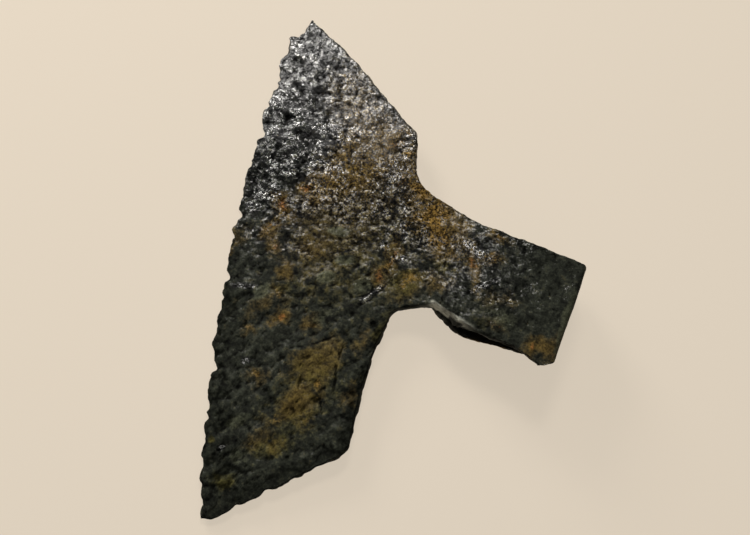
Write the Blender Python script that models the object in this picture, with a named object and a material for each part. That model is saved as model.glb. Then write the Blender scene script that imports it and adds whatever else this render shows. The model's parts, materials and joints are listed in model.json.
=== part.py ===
"""A bearded axe head of forged iron, worn and corroded, lying on its far cheek.

The head is worked out in its own frame: x is 0 at the poll and negative towards the cutting edge,
y runs up the cutting edge from the middle of the socket, and z points out of the seen cheek.
It is then laid down on a level surface, on its far cheek and its cutting edge.
"""

import math

import bmesh
import bpy
import numpy as np
from mathutils import Matrix, Vector

# All sizes are in metres and all angles in radians.

# Cutting edge: a chord between its two corners, bowed forward.
EDGE_LOW_REACH = 0.1262
EDGE_LOW_DROP = 0.1320
EDGE_TOP_REACH = 0.1581
EDGE_TOP_RISE = 0.0980
EDGE_BOW = 0.0104
EDGE_THICKNESS = 0.0017

# The upper corner of the edge has broken off in a step, and narrows to its tip.
CHIP_HEIGHT = 0.0118
CHIP_DEPTH = 0.0037
TIP_DEPTH = 0.0052

# Nicks in the cutting edge: height above the socket's middle, depth (negative for a tooth), width.
EDGE_NICKS = (
    (0.0655, 0.0019, 0.0050),
    (0.0495, -0.0013, 0.0080),
    (0.0395, 0.0021, 0.0050),
    (0.0020, 0.0017, 0.0055),
    (-0.0055, -0.0012, 0.0045),
    (-0.0260, 0.0016, 0.0050),
    (-0.0500, 0.0009, 0.0050),
    (-0.0670, 0.0023, 0.0065),
    (-0.0890, 0.0014, 0.0050),
    (-0.1010, -0.0016, 0.0070),
    (-0.1240, -0.0008, 0.0040),
)

# The blade's lower and upper edges each turn a little on their way from the cutting edge.
LOWER_TURN_REACH = 0.1203
LOWER_TURN_DROP = 0.1303
UPPER_TURN_REACH = 0.1315
UPPER_TURN_RISE = 0.0875
BLADE_TURN_RADIUS = 0.0120

# Shoulder, where the top edge of the blade turns down to the neck.
SHOULDER_REACH = 0.0903
SHOULDER_RISE = 0.0615
SHOULDER_RADIUS = 0.0025
SHOULDER_THICKNESS = 0.0056

# Heel of the beard, with its corner knocked off.
HEEL_REACH = 0.0748
HEEL_DROP = 0.0828
HEEL_BEVEL_WIDTH = 0.0031
HEEL_BEVEL_HEIGHT = 0.0058
HEEL_RADIUS = 0.0020
HEEL_THICKNESS = 0.0042

# Back of the beard, slightly hollow, and the neck above it.
BEARD_HOLLOW = 0.0034
BEARD_HOLLOW_DROP = 0.0480
BEARD_HOLLOW_RADIUS = 0.1200
NECK_LOW_REACH = 0.0752
NECK_LOW_DROP = 0.0192
NECK_LOW_RADIUS = 0.0070
NECK_TOP_REACH = 0.0829
NECK_TOP_RISE = 0.0386
NECK_TOP_RADIUS = 0.0140
NECK_THICKNESS = 0.0088

# Socket: its top line, its underside, the corner that droops on the seen cheek, and the poll,
# which leans out towards its top.
SOCKET_TOP_FRONT = 0.0460
SOCKET_TOP_FRONT_RISE = 0.0278
SOCKET_TOP_RADIUS = 0.0300
POLL_TOP_RISE = 0.0264
NOTCH_REACH = 0.0595
NOTCH_DROP = 0.0112
NOTCH_RADIUS = 0.0030
NEAR_UNDERSIDE_REACH = 0.0420
NEAR_UNDERSIDE_DROP = 0.0176
LAPPET_START_REACH = 0.0155
LAPPET_START_DROP = 0.0204
LAPPET_REACH = 0.0048
LAPPET_DROP = 0.0244
LAPPET_RADIUS = 0.0035
NEAR_CORNER_DROP = 0.0208
FAR_UNDERSIDE_REACH = 0.0440
FAR_UNDERSIDE_DROP = 0.0186
FAR_CORNER_DROP = 0.0170
UNDERSIDE_RADIUS = 0.0180
POLL_CORNER_RADIUS = 0.0018
POLL_LEAN = 0.0300

# Socket in plan: it swells from the neck in a long S, and its cheeks close a little to the poll.
SWELL_START_REACH = 0.0690
SWELL_REACH = 0.0450
SWELL_RADIUS = 0.0450
SOCKET_WIDTH = 0.0300
POLL_WIDTH = 0.0250
POLL_EDGE_RADIUS = 0.0030

# Eye for the haft: a blunt point at the front, a flat back at the poll.
EYE_LENGTH = 0.0450
EYE_WIDTH = 0.0200
EYE_BACK_WIDTH = 0.0176
EYE_POINT_LENGTH = 0.0080
EYE_CORNER_RADIUS = 0.0040
POLL_WALL = 0.0055

# Rounding of every rim: how far it reaches down the face and in across the thickness.
RIM_RISE = 0.0014
RIM_RUN = 0.0022

# Hammered and rusted unevenness of the faces.
DENT_DEPTH = 0.0011
DENT_SIZE = 0.0210
PATCH_DEPTH = 0.0007
PATCH_SIZE = 0.0100

# Mesh cells along each stretch.
CELLS_ALONG_BLADE = 17
CELLS_ALONG_BEARD = 19
CELLS_ALONG_NECK = 16
CELLS_ALONG_SHOULDER = 10
CELLS_BEFORE_EYE = 7
CELLS_BESIDE_EYE = 13
CELLS_ACROSS_HALF_POLL = 3
CELLS_AROUND_RIM = 2
CELLS_ACROSS_RIM = 2
ARC_CELLS = 8

IRON_COLOUR = (0.075, 0.068, 0.055, 1.0)
IRON_ROUGHNESS = 0.45
IRON_METALLIC = 0.55
WELD_DISTANCE = 1e-6


def rounded_path(corners):
    """Straight runs between corners (x, y, radius), each corner turned into an arc.

    Returns the points and, for each corner, the index of the middle of its arc.
    """
    points = [np.array(corners[0][:2], float)]
    middles = [0]
    for before, (x, y, radius), after in zip(corners, corners[1:], corners[2:]):
        corner = np.array([x, y])
        back = np.array(before[:2]) - corner
        ahead = np.array(after[:2]) - corner
        back_length, ahead_length = np.linalg.norm(back), np.linalg.norm(ahead)
        back, ahead = back / back_length, ahead / ahead_length
        half_angle = math.acos(np.clip(back @ ahead, -1, 1)) / 2
        reach = min(radius / math.tan(half_angle), 0.45 * back_length, 0.45 * ahead_length)
        radius = reach * math.tan(half_angle)
        middle = (back + ahead) / np.linalg.norm(back + ahead)
        centre = corner + middle * radius / math.sin(half_angle)
        start, end = corner + back * reach - centre, corner + ahead * reach - centre
        sweep = math.pi - 2 * half_angle
        for k in range(ARC_CELLS + 1):
            share = k / ARC_CELLS
            weights = np.array([math.sin((1 - share) * sweep), math.sin(share * sweep)])
            points.append(centre + (weights[0] * start + weights[1] * end) / math.sin(sweep))
        middles.append(len(points) - 1 - ARC_CELLS // 2)
    points.append(np.array(corners[-1][:2], float))
    middles.append(len(points) - 1)
    return np.array(points), middles


def lengths(points):
    """The distance along a path to each of its points."""
    return np.concatenate([[0], np.cumsum(np.linalg.norm(np.diff(points, axis=0), axis=1))])


def resample(points, cells):
    """A path's points again, evenly spaced, as cells + 1 points."""
    along = lengths(points)
    wanted = np.linspace(0, along[-1], cells + 1)
    return np.stack([np.interp(wanted, along, points[:, k]) for k in range(2)], 1)


def left_normals(points):
    """The unit normal on the left of each point of a path."""
    ahead = np.gradient(points, axis=0)
    normals = np.stack([-ahead[:, 1], ahead[:, 0]], 1)
    return normals / np.linalg.norm(normals, axis=1, keepdims=True)


def smooth(share):
    """Eases from 0 to 1."""
    share = np.clip(share, 0, 1)
    return share * share * (3 - 2 * share)


def noise(x, y, size, seed):
    """Smooth value noise from -1 to 1 over the x, y plane, with lumps of the given size."""
    u, v = x / size, y / size
    i, j = np.floor(u).astype(np.int64), np.floor(v).astype(np.int64)
    fu, fv = smooth(u - i), smooth(v - j)

    def corner(a, b):
        mixed = (a * 73856093) ^ (b * 19349663) ^ (seed * 83492791)
        mixed = (mixed ^ (mixed >> 13)) * 1274126177 & 0x7FFFFFFF
        return (mixed ^ (mixed >> 16)) % 65536 / 32767.5 - 1

    low = corner(i, j) * (1 - fu) + corner(i + 1, j) * fu
    high = corner(i, j + 1) * (1 - fu) + corner(i + 1, j + 1) * fu
    return low * (1 - fv) + high * fv


def unevenness(x, y, side):
    """Broad dents and smaller rusted patches on one face, as a height along z."""
    seed = 3 if side > 0 else 8
    return DENT_DEPTH * noise(x, y, DENT_SIZE, seed) + PATCH_DEPTH * noise(x, y, PATCH_SIZE, seed + 1)


def lower_outline(near):
    """From the lower corner of the cutting edge round the beard and under the socket to the poll.

    Returns the points and the indices of the heel and of the neck's corner.
    """
    if near:
        underside = [
            (-NEAR_UNDERSIDE_REACH, -NEAR_UNDERSIDE_DROP, UNDERSIDE_RADIUS),
            (-LAPPET_START_REACH, -LAPPET_START_DROP, UNDERSIDE_RADIUS),
            (-LAPPET_REACH, -LAPPET_DROP, LAPPET_RADIUS),
            (0, -NEAR_CORNER_DROP, POLL_CORNER_RADIUS),
        ]
    else:
        underside = [
            (-FAR_UNDERSIDE_REACH, -FAR_UNDERSIDE_DROP, UNDERSIDE_RADIUS),
            (0, -FAR_CORNER_DROP, POLL_CORNER_RADIUS),
        ]
    points, middles = rounded_path(
        [
            (-EDGE_LOW_REACH, -EDGE_LOW_DROP, 0),
            (-LOWER_TURN_REACH, -LOWER_TURN_DROP, BLADE_TURN_RADIUS),
            (-HEEL_REACH - HEEL_BEVEL_WIDTH, -HEEL_DROP - HEEL_BEVEL_HEIGHT, HEEL_RADIUS),
            (-HEEL_REACH, -HEEL_DROP, HEEL_RADIUS),
            (-HEEL_REACH - BEARD_HOLLOW, -BEARD_HOLLOW_DROP, BEARD_HOLLOW_RADIUS),
            (-NECK_LOW_REACH, -NECK_LOW_DROP, NECK_LOW_RADIUS),
            (-NOTCH_REACH, -NOTCH_DROP, NOTCH_RADIUS),
            *underside,
            (0, 0, 0),
        ]
    )
    return points, middles[2], middles[5]


def upper_outline():
    """From the upper corner of the cutting edge over the shoulder and the socket to the poll.

    Returns the points and the indices of the shoulder and of the neck's corner.
    """
    points, middles = rounded_path(
        [
            (-EDGE_TOP_REACH + TIP_DEPTH, EDGE_TOP_RISE, 0),
            (-UPPER_TURN_REACH, UPPER_TURN_RISE, BLADE_TURN_RADIUS),
            (-SHOULDER_REACH, SHOULDER_RISE, SHOULDER_RADIUS),
            (-NECK_TOP_REACH, NECK_TOP_RISE, NECK_TOP_RADIUS),
            (-SOCKET_TOP_FRONT, SOCKET_TOP_FRONT_RISE, SOCKET_TOP_RADIUS),
            (0, POLL_TOP_RISE, POLL_CORNER_RADIUS),
            (0, 0, 0),
        ]
    )
    return points, middles[2], middles[3]


def cutting_edge(shares):
    """The ragged cutting edge, for shares of its height from the lower corner to the upper one."""
    y = -EDGE_LOW_DROP + shares * (EDGE_TOP_RISE + EDGE_LOW_DROP)
    chord = -EDGE_LOW_REACH + shares * (EDGE_LOW_REACH - EDGE_TOP_REACH)
    x = chord - EDGE_BOW * (1 - (2 * shares - 1) ** 2)
    for height, depth, width in EDGE_NICKS:
        x = x + depth * np.exp(-(((y - height) / (width / 2)) ** 2))
    chipped = np.clip((y - EDGE_TOP_RISE + CHIP_HEIGHT) / CHIP_HEIGHT, 0, 1)
    chip = smooth(4 * chipped) * (CHIP_DEPTH + (TIP_DEPTH - CHIP_DEPTH) * chipped)
    return np.stack([x + chip, y], 1)


def socket_stations():
    """The socket's plan on the near side, from the neck round to the middle of the poll.

    Returns the outer and inner points (x, z), paired, where the inner ones lie on z = 0 before the eye.
    """
    eye_back = -POLL_WALL
    eye_front = eye_back - EYE_LENGTH
    neck = (NECK_LOW_REACH + NECK_TOP_REACH) / 2
    outer, places = rounded_path(
        [
            (-neck, NECK_THICKNESS / 2, 0),
            (-SWELL_START_REACH, NECK_THICKNESS / 2, SWELL_RADIUS),
            (-SWELL_REACH, SOCKET_WIDTH / 2, SWELL_RADIUS),
            (0, POLL_WIDTH / 2, POLL_EDGE_RADIUS),
            (0, 0, 0),
        ]
    )
    inner, turns = rounded_path(
        [
            (eye_front, 0, 0),
            (eye_front + EYE_POINT_LENGTH, EYE_WIDTH / 2, EYE_CORNER_RADIUS),
            (eye_back, EYE_BACK_WIDTH / 2, EYE_CORNER_RADIUS),
            (eye_back, 0, 0),
        ]
    )
    start = np.searchsorted(outer[: places[3], 0], eye_front)
    share = (eye_front - outer[start - 1, 0]) / (outer[start, 0] - outer[start - 1, 0])
    beside_front = outer[start - 1] + share * (outer[start] - outer[start - 1])
    before = resample(np.vstack([outer[:start], beside_front]), CELLS_BEFORE_EYE)
    beside = resample(np.vstack([beside_front, outer[start : places[3] + 1]]), CELLS_BESIDE_EYE)
    behind = resample(outer[places[3] :], CELLS_ACROSS_HALF_POLL)
    inner_beside = resample(inner[: turns[2] + 1], CELLS_BESIDE_EYE)
    inner_behind = resample(inner[turns[2] :], CELLS_ACROSS_HALF_POLL)
    outside = np.vstack([before, beside[1:], behind[1:]])
    middle = np.stack([before[:, 0], np.zeros(len(before))], 1)
    inside = np.vstack([middle[:-1], inner_beside, inner_behind[1:]])
    return outside, inside


def rim_rows(face, edge, outer_z, inner_z, inner_point=None):
    """Points from a face's border over its rounded rim to the rim's inner line.

    face and edge are the border of the face and the outline there, in x and y. The first rows turn
    a quarter ellipse from the face to the rim, and the others cross the rim to inner_z.
    """
    inward = np.zeros_like(edge) if inner_point is None else inner_point - edge
    width = np.hypot(np.linalg.norm(inward, axis=1), outer_z - inner_z)
    run = np.minimum(RIM_RUN / np.maximum(width, WELD_DISTANCE), 0.6)
    turns = np.linspace(0, math.pi / 2, CELLS_AROUND_RIM + 1)
    shares = np.linspace(0, 1, CELLS_ACROSS_RIM + 1)[1:]
    steps = [(math.sin(turn), run * (1 - math.cos(turn))) for turn in turns]
    steps += [(1, run + (1 - run) * share) for share in shares]
    rows = []
    for down, across in steps:
        flat = face + (edge - face) * down + inward * across[:, None]
        rows.append(np.column_stack([flat, outer_z + (inner_z - outer_z) * across]))
    return np.array(rows)


def blade_grid(neck_low, neck_top):
    """The blade's mid-plane as a grid (along, up) with its half thickness, its outline and its border.

    The grid is a Coons patch between the cutting edge, the lower edge, the upper edge and the back,
    each drawn in from the outline by the rim's rounding.
    """
    lower, heel_at, low_at = lower_outline(True)
    upper, shoulder_at, top_at = upper_outline()
    bottom = resample(lower[: heel_at + 1], CELLS_ALONG_BLADE)
    beard = resample(lower[heel_at : low_at + 1], CELLS_ALONG_BEARD)
    top = resample(upper[: shoulder_at + 1], CELLS_ALONG_BLADE)
    shoulder = resample(upper[shoulder_at : top_at + 1], CELLS_ALONG_SHOULDER)[::-1]
    neck = np.linspace(neck_low[0], neck_top[0], CELLS_ALONG_NECK + 1)
    back = np.vstack([beard[:-1], neck, shoulder[1:]])
    heights = lengths(back) / lengths(back)[-1]
    front = cutting_edge(heights)

    inward_bottom, inward_top = left_normals(bottom), -left_normals(top)
    inward_beard, inward_shoulder = left_normals(beard), left_normals(shoulder)
    inward_front = -left_normals(front)
    corner = inward_front[0] + inward_bottom[0]
    inward_front[0] = inward_bottom[0] = corner / np.linalg.norm(corner)
    corner = inward_front[-1] + inward_top[0]
    inward_front[-1] = inward_top[0] = corner / np.linalg.norm(corner)
    inward_bottom[-1] = inward_beard[0] = (inward_bottom[-1] + inward_beard[0]) / 2
    inward_top[-1] = inward_shoulder[-1] = (inward_top[-1] + inward_shoulder[-1]) / 2
    inward_beard[-1], inward_shoulder[0] = neck_low[1], neck_top[1]

    face_bottom = bottom + RIM_RISE * inward_bottom
    face_top = top + RIM_RISE * inward_top
    face_front = front + RIM_RISE * inward_front
    face_beard = beard + RIM_RISE * inward_beard
    face_shoulder = shoulder + RIM_RISE * inward_shoulder
    face_neck = np.linspace(face_beard[-1], face_shoulder[0], CELLS_ALONG_NECK + 1)
    face_back = np.vstack([face_beard[:-1], face_neck, face_shoulder[1:]])

    s = np.linspace(0, 1, CELLS_ALONG_BLADE + 1)[:, None, None]
    t = heights[None, :, None]
    grid = (1 - t) * face_bottom[:, None] + t * face_top[:, None]
    grid = grid + (1 - s) * face_front[None] + s * face_back[None]
    grid = grid - (1 - s) * ((1 - t) * face_front[0] + t * face_front[-1])
    grid = grid - s * ((1 - t) * face_back[0] + t * face_back[-1])

    spine = np.concatenate(
        [
            HEEL_THICKNESS + (NECK_THICKNESS - HEEL_THICKNESS) * smooth(np.linspace(0, 1, len(beard))),
            np.full(CELLS_ALONG_NECK - 1, NECK_THICKNESS),
            NECK_THICKNESS + (SHOULDER_THICKNESS - NECK_THICKNESS) * smooth(np.linspace(0, 1, len(shoulder))),
        ]
    )
    half = (EDGE_THICKNESS + (spine[None] - EDGE_THICKNESS) * s[:, :, 0] ** 0.85) / 2
    sides = [(front[::-1], face_front[::-1], 0), (bottom, face_bottom, 1), (beard, face_beard, 2)]
    sides += [(shoulder, face_shoulder, 3), (top[::-1], face_top[::-1], 4)]
    return grid, half, sides


def face_height(x, y, half, side):
    """How far a face stands off the mid-plane: half the thickness, made uneven where it is thick."""
    fade = smooth((half - EDGE_THICKNESS / 4) / NECK_THICKNESS * 4)
    fade = fade * smooth(-x / POLL_WALL - 1)
    return side * (half + fade * unevenness(x, y, side))


def socket_grids(side):
    """One half of the neck and socket, on the near side (1) or the far side (-1).

    Returns its outer face, its rim below, its rim above and the wall of the eye, as grids of points.
    """
    near = side > 0
    lower, _, low_at = lower_outline(near)
    upper, _, top_at = upper_outline()
    lower, upper = lower[low_at:-1], upper[top_at:-1]
    low_inward, top_inward = left_normals(lower), -left_normals(upper)
    outside, inside = socket_stations()
    x, z = outside.T
    in_x, in_z = inside.T

    # Before the eye the sections turn from the neck's slanted one to upright ones.
    turn = 1 - smooth((x - x[0]) / (x[CELLS_BEFORE_EYE] - x[0]))
    low_x = x + (lower[0, 0] - x[0]) * turn
    top_x = x + (upper[0, 0] - x[0]) * turn
    # Across the poll the underside goes evenly from one cheek's corner to the other's.
    other = lower_outline(not near)[0][low_at:-1]

    def low_y(px, pz):
        own, across = np.interp(px, lower[:, 0], lower[:, 1]), np.interp(px, other[:, 0], other[:, 1])
        share = 0.5 - 0.5 * np.clip(pz / (EYE_BACK_WIDTH / 2), 0, 1)
        return own + (across - own) * share

    low = np.stack([low_x, low_y(low_x, z)], 1)
    top = np.stack([top_x, np.interp(top_x, upper[:, 0], upper[:, 1])], 1)
    inset = turn[:, None]
    at = [np.interp(low_x, lower[:, 0], low_inward[:, k]) for k in range(2)]
    low_in = np.stack(at, 1) * inset + np.array([0, 1]) * (1 - inset)
    at = [np.interp(top_x, upper[:, 0], top_inward[:, k]) for k in range(2)]
    top_in = np.stack(at, 1) * inset + np.array([0, -1]) * (1 - inset)
    low_in = low_in / np.linalg.norm(low_in, axis=1, keepdims=True)
    top_in = top_in / np.linalg.norm(top_in, axis=1, keepdims=True)
    face_low, face_top = low + RIM_RISE * low_in, top + RIM_RISE * top_in

    t = np.linspace(0, 1, CELLS_ALONG_NECK + 1)[None, :, None]
    flat = face_low[:, None] * (1 - t) + face_top[:, None] * t
    height = face_height(flat[..., 0], flat[..., 1], z[:, None], side)
    on_poll = np.isclose(x, 0)
    height[on_poll] = side * z[on_poll, None]
    face = np.dstack([flat, height])

    inner_low = np.stack([in_x, low_y(in_x, in_z)], 1)
    inner_top = np.stack([in_x, np.interp(in_x, upper[:, 0], upper[:, 1])], 1)
    before = np.arange(len(x)) < CELLS_BEFORE_EYE
    inner_low[before] = np.stack([low_x, low_y(low_x, in_z)], 1)[before]
    inner_top[before] = top[before]
    rim_low = rim_rows(face_low, low, height[:, 0], side * in_z, inner_low)
    rim_top = rim_rows(face_top, top, height[:, -1], side * in_z, inner_top)
    eye = slice(CELLS_BEFORE_EYE, None)
    wall = rim_low[-1, eye, None] * (1 - t) + rim_top[-1, eye, None] * t
    for grid in (face, rim_low, rim_top, wall):
        grid[..., 0] += POLL_LEAN * grid[..., 1] * np.clip(1 + grid[..., 0] / EYE_LENGTH, 0, 1)
    return face, rim_low, rim_top, wall, (low[0], low_in[0]), (top[0], top_in[0])


def add_grid(bm, points):
    """Adds a grid of points, shaped (rows, columns, 3), to bm as quads."""
    rows = [[bm.verts.new(p) for p in row] for row in points]
    for first, second in zip(rows, rows[1:]):
        for k in range(len(first) - 1):
            bm.faces.new((first[k], first[k + 1], second[k + 1], second[k]))


def head_mesh():
    """The axe head as one closed mesh, in its own frame."""
    bm = bmesh.new()
    for side in (1, -1):
        face, rim_low, rim_top, wall, neck_low, neck_top = socket_grids(side)
        for grid in (face, rim_low, rim_top, wall):
            add_grid(bm, grid)
        grid, half, sides = blade_grid(neck_low, neck_top)
        height = face_height(grid[..., 0], grid[..., 1], half, side)
        add_grid(bm, np.dstack([grid, height]))
        back_at = np.cumsum([CELLS_ALONG_BEARD, CELLS_ALONG_NECK])
        borders = (height[0, ::-1], height[:, 0], height[-1, : back_at[0] + 1])
        borders += (height[-1, back_at[1] :], height[::-1, -1])
        for edge, face_border, number in sides:
            add_grid(bm, rim_rows(face_border, edge, borders[number], np.zeros(len(edge))))
    bmesh.ops.remove_doubles(bm, verts=bm.verts, dist=WELD_DISTANCE)
    bmesh.ops.recalc_face_normals(bm, faces=bm.faces)
    mesh = bpy.data.meshes.new("axe_head")
    bm.to_mesh(mesh)
    bm.free()
    return mesh


def resting_turn(mesh):
    """The turn that lays the head down on the far side of its hull that brings its middle lowest."""
    hull = bmesh.new()
    hull.from_mesh(mesh)
    middle = Vector()
    volume = 0
    for loops in hull.calc_loop_triangles():
        a, b, c = (loop.vert.co for loop in loops)
        wedge = a.dot(b.cross(c)) / 6
        middle += wedge * (a + b + c) / 4
        volume += wedge
    middle /= volume
    made = bmesh.ops.convex_hull(hull, input=hull.verts)
    sides = [face for face in made["geom"] if isinstance(face, bmesh.types.BMFace) and face.normal.z < -0.7]
    lowest = min(sides, key=lambda face: face.normal.dot(face.verts[0].co - middle))
    turn = lowest.normal.rotation_difference(Vector((0, 0, -1))).to_matrix().to_4x4()
    hull.free()
    return turn


def iron():
    """The dark, waxed, rusted iron."""
    material = bpy.data.materials.new("corroded_iron")
    material.use_nodes = True
    shader = material.node_tree.nodes["Principled BSDF"]
    shader.inputs["Base Color"].default_value = IRON_COLOUR
    shader.inputs["Roughness"].default_value = IRON_ROUGHNESS
    shader.inputs["Metallic"].default_value = IRON_METALLIC
    return material


def main():
    """Clears the scene and builds the axe head, lying down with its origin under its middle."""
    for old in list(bpy.data.objects):
        bpy.data.objects.remove(old)
    mesh = head_mesh()
    mesh.materials.append(iron())
    head = bpy.data.objects.new("axe_head", mesh)
    bpy.context.scene.collection.objects.link(head)
    turn = resting_turn(mesh)
    corners = np.array([turn @ v.co for v in mesh.vertices])
    low, high = corners.min(0), corners.max(0)
    shift = Vector((-(low[0] + high[0]) / 2, -(low[1] + high[1]) / 2, -low[2]))
    head.matrix_world = Matrix.Translation(shift) @ turn
    mesh.shade_smooth()
    mesh.set_sharp_from_angle(angle=math.radians(35))


main()
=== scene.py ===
"""Dresses the bearded axe head: a forged iron head, rusted, flaked and waxed, lying on its far cheek.

The head is shaped in its own frame, in millimetres: x is 0 at the poll and negative towards the cutting
edge, y runs up the cutting edge from the middle of the socket, and z points out of the seen cheek.
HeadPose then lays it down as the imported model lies, in metres.
"""

import json
import logging
import math
from collections.abc import Iterable, Iterator, Sequence
from dataclasses import dataclass, field
from enum import Enum

import bmesh
import bpy
import numpy as np
from mathutils import Matrix, Vector


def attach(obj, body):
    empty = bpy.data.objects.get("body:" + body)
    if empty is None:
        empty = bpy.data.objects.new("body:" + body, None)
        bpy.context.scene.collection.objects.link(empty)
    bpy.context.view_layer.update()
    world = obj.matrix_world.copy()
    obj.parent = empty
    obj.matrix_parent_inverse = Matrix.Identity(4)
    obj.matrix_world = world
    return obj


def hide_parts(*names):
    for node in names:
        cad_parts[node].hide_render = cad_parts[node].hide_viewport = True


Array = np.ndarray
FramePart = dict[str, object]
Triple = tuple[float, float, float]
Pair = tuple[float, float]
Socketed = bpy.types.NodeSocket | float

MM = 0.001
NODE = "axe_head"
SLOT = "corroded_iron"

log = logging.getLogger("axe_head")


# Curves and noise


def ease(share: Array) -> Array:
    """Eases from 0 to 1 with a flat start and end: 3 t^2 - 2 t^3.

    Args:
        share: Where to read the curve; clipped to 0..1.

    Returns:
        The eased values.
    """
    share = np.clip(share, 0, 1)
    return share * share * (3 - 2 * share)


def between(low: float, high: float, value: Array) -> Array:
    """An eased step from 0 at low to 1 at high, which may be the smaller of the two.

    Args:
        low: Where the step starts.
        high: Where it ends.
        value: Where to read it.

    Returns:
        The step's values.
    """
    return ease((value - low) / (high - low))


def hashed(cell: Array, seed: int) -> Array:
    """A repeatable random number from 0 to 1 for each whole-number cell.

    Args:
        cell: Cells, shaped (..., 3).
        seed: Which set of numbers.

    Returns:
        The numbers, shaped (...).
    """
    mixed = (cell[..., 0] * 73856093) ^ (cell[..., 1] * 19349663) ^ (cell[..., 2] * 83492791)
    mixed = (mixed ^ (seed * 2654435761)) & 0xFFFFFFFF
    mixed = ((mixed ^ (mixed >> 16)) * 73244475) & 0xFFFFFFFF
    mixed = ((mixed ^ (mixed >> 16)) * 73244475) & 0xFFFFFFFF
    return ((mixed ^ (mixed >> 16)) & 0xFFFFFF) / float(0xFFFFFF)


@dataclass(frozen=True)
class Lumps:
    """Smooth random lumps of one size, with finer ones on them.

    Attributes:
        size: The length of the largest lumps, in mm.
        seed: Which pattern.
        layers: How many sizes, each half the one before and half as strong.
        stretch: How far the lumps are drawn out along each axis.
    """

    size: float
    seed: int
    layers: int = 2
    stretch: Triple = (1.0, 1.0, 1.0)

    def __call__(self, place: Array) -> Array:
        """Gradient noise: each cell corner has a random slope, blended between corners by an eased weight.

        Args:
            place: Points in mm, shaped (n, 3).

        Returns:
            Heights, mostly from -1 to 1.
        """
        total = np.zeros(len(place))
        scaled = place / (self.size * np.array(self.stretch))
        for layer in range(self.layers):
            total += self._one_size(scaled * 2**layer + 17.3 * layer, self.seed + 31 * layer) / 2**layer
        return total

    @staticmethod
    def _one_size(place: Array, seed: int) -> Array:
        """One size of lumps at points counted in cells."""
        cell = np.floor(place).astype(np.int64)
        offset = place - cell
        weight = ease(offset)
        total = np.zeros(len(place))
        for step in np.ndindex(2, 2, 2):
            corner = cell + np.array(step)
            slope = np.stack([hashed(corner, seed + k) for k in range(3)], 1) * 2 - 1
            share = np.prod(np.where(np.array(step) == 1, weight, 1 - weight), axis=1)
            total += share * np.sum(slope * (offset - np.array(step)), axis=1)
        return total * 1.8


def wander(place: Array, size: float, seed: int, layers: int = 2) -> Array:
    """A push along x and y at each point, so that what is drawn over the pushed points winds.

    Args:
        place: Points in mm, shaped (n, 3).
        size: The length of the largest windings, in mm.
        seed: Which pattern.
        layers: How many sizes of winding.

    Returns:
        The pushes, shaped (n, 3).
    """
    return np.stack([*(Lumps(size, seed + k, layers)(place) for k in range(2)), np.zeros(len(place))], 1)


def scattered(scaled: Array, seed: int) -> Iterator[tuple[Array, Array]]:
    """Middles scattered at random, one in each cell, gone through for the 27 cells around each point.

    Args:
        scaled: Points counted in cells, shaped (n, 3).
        seed: Which pattern.

    Yields:
        A cell for each point, and the squared distance to its middle.
    """
    cell = np.floor(scaled).astype(np.int64)
    for step in np.ndindex(3, 3, 3):
        near = cell + np.array(step) - 1
        middle = near + np.stack([hashed(near, seed + k) for k in range(3)], 1)
        yield near, np.sum((scaled - middle) ** 2, axis=1)


@dataclass(frozen=True)
class Pits:
    """Round pits, scattered at random.

    Attributes:
        spacing: The mean distance between pits, in mm.
        radius: The largest pit's radius, in mm.
        share: How many cells hold a pit, from 0 to 1.
        seed: Which pattern.
        smallest: The smallest pit's radius, as a share of the largest one's.
    """

    spacing: float
    radius: float
    share: float
    seed: int
    smallest: float = 0.45

    def __call__(self, place: Array) -> Array:
        """Depth of the deepest pit over each point: 1 - (distance / radius)^2, and 0 outside.

        Args:
            place: Points in mm, shaped (n, 3).

        Returns:
            Depths from 0 to 1.
        """
        deepest = np.zeros(len(place))
        for cell, apart in scattered(place / self.spacing, self.seed):
            size = self.smallest + (1 - self.smallest) * hashed(cell, self.seed + 4)
            depth = np.clip(1 - apart / (self.radius / self.spacing * size) ** 2, 0, 1)
            deepest = np.maximum(deepest, np.where(hashed(cell, self.seed + 5) < self.share, depth, 0))
        return deepest


@dataclass(frozen=True)
class Knobs:
    """Rounded knobs of crust with creases between them.

    Attributes:
        spacing: The mean distance between knobs, in mm.
        seed: Which pattern.
    """

    spacing: float
    seed: int

    def __call__(self, place: Array) -> Array:
        """Height over each point: 1 - d^2, where d is the distance to the nearest knob's middle in spacings.

        Args:
            place: Points in mm, shaped (n, 3).

        Returns:
            Heights, from about 0 in the creases to 1 on the knobs.
        """
        nearest = np.min([apart for _, apart in scattered(place / self.spacing, self.seed)], axis=0)
        return np.clip(1 - nearest, 0, 1)


def terraces(height: Array, steps: float, sharpness: float) -> Array:
    """Turns smooth heights into flat flakes with short risers between them.

    Args:
        height: Smooth heights.
        steps: How many flakes there are to one unit of height.
        sharpness: The share of each step that the riser takes.

    Returns:
        Stepped heights, in the same units.
    """
    scaled = height * steps
    floor = np.floor(scaled)
    return (floor + ease((scaled - floor - 0.5) / sharpness + 0.5)) / steps


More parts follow.
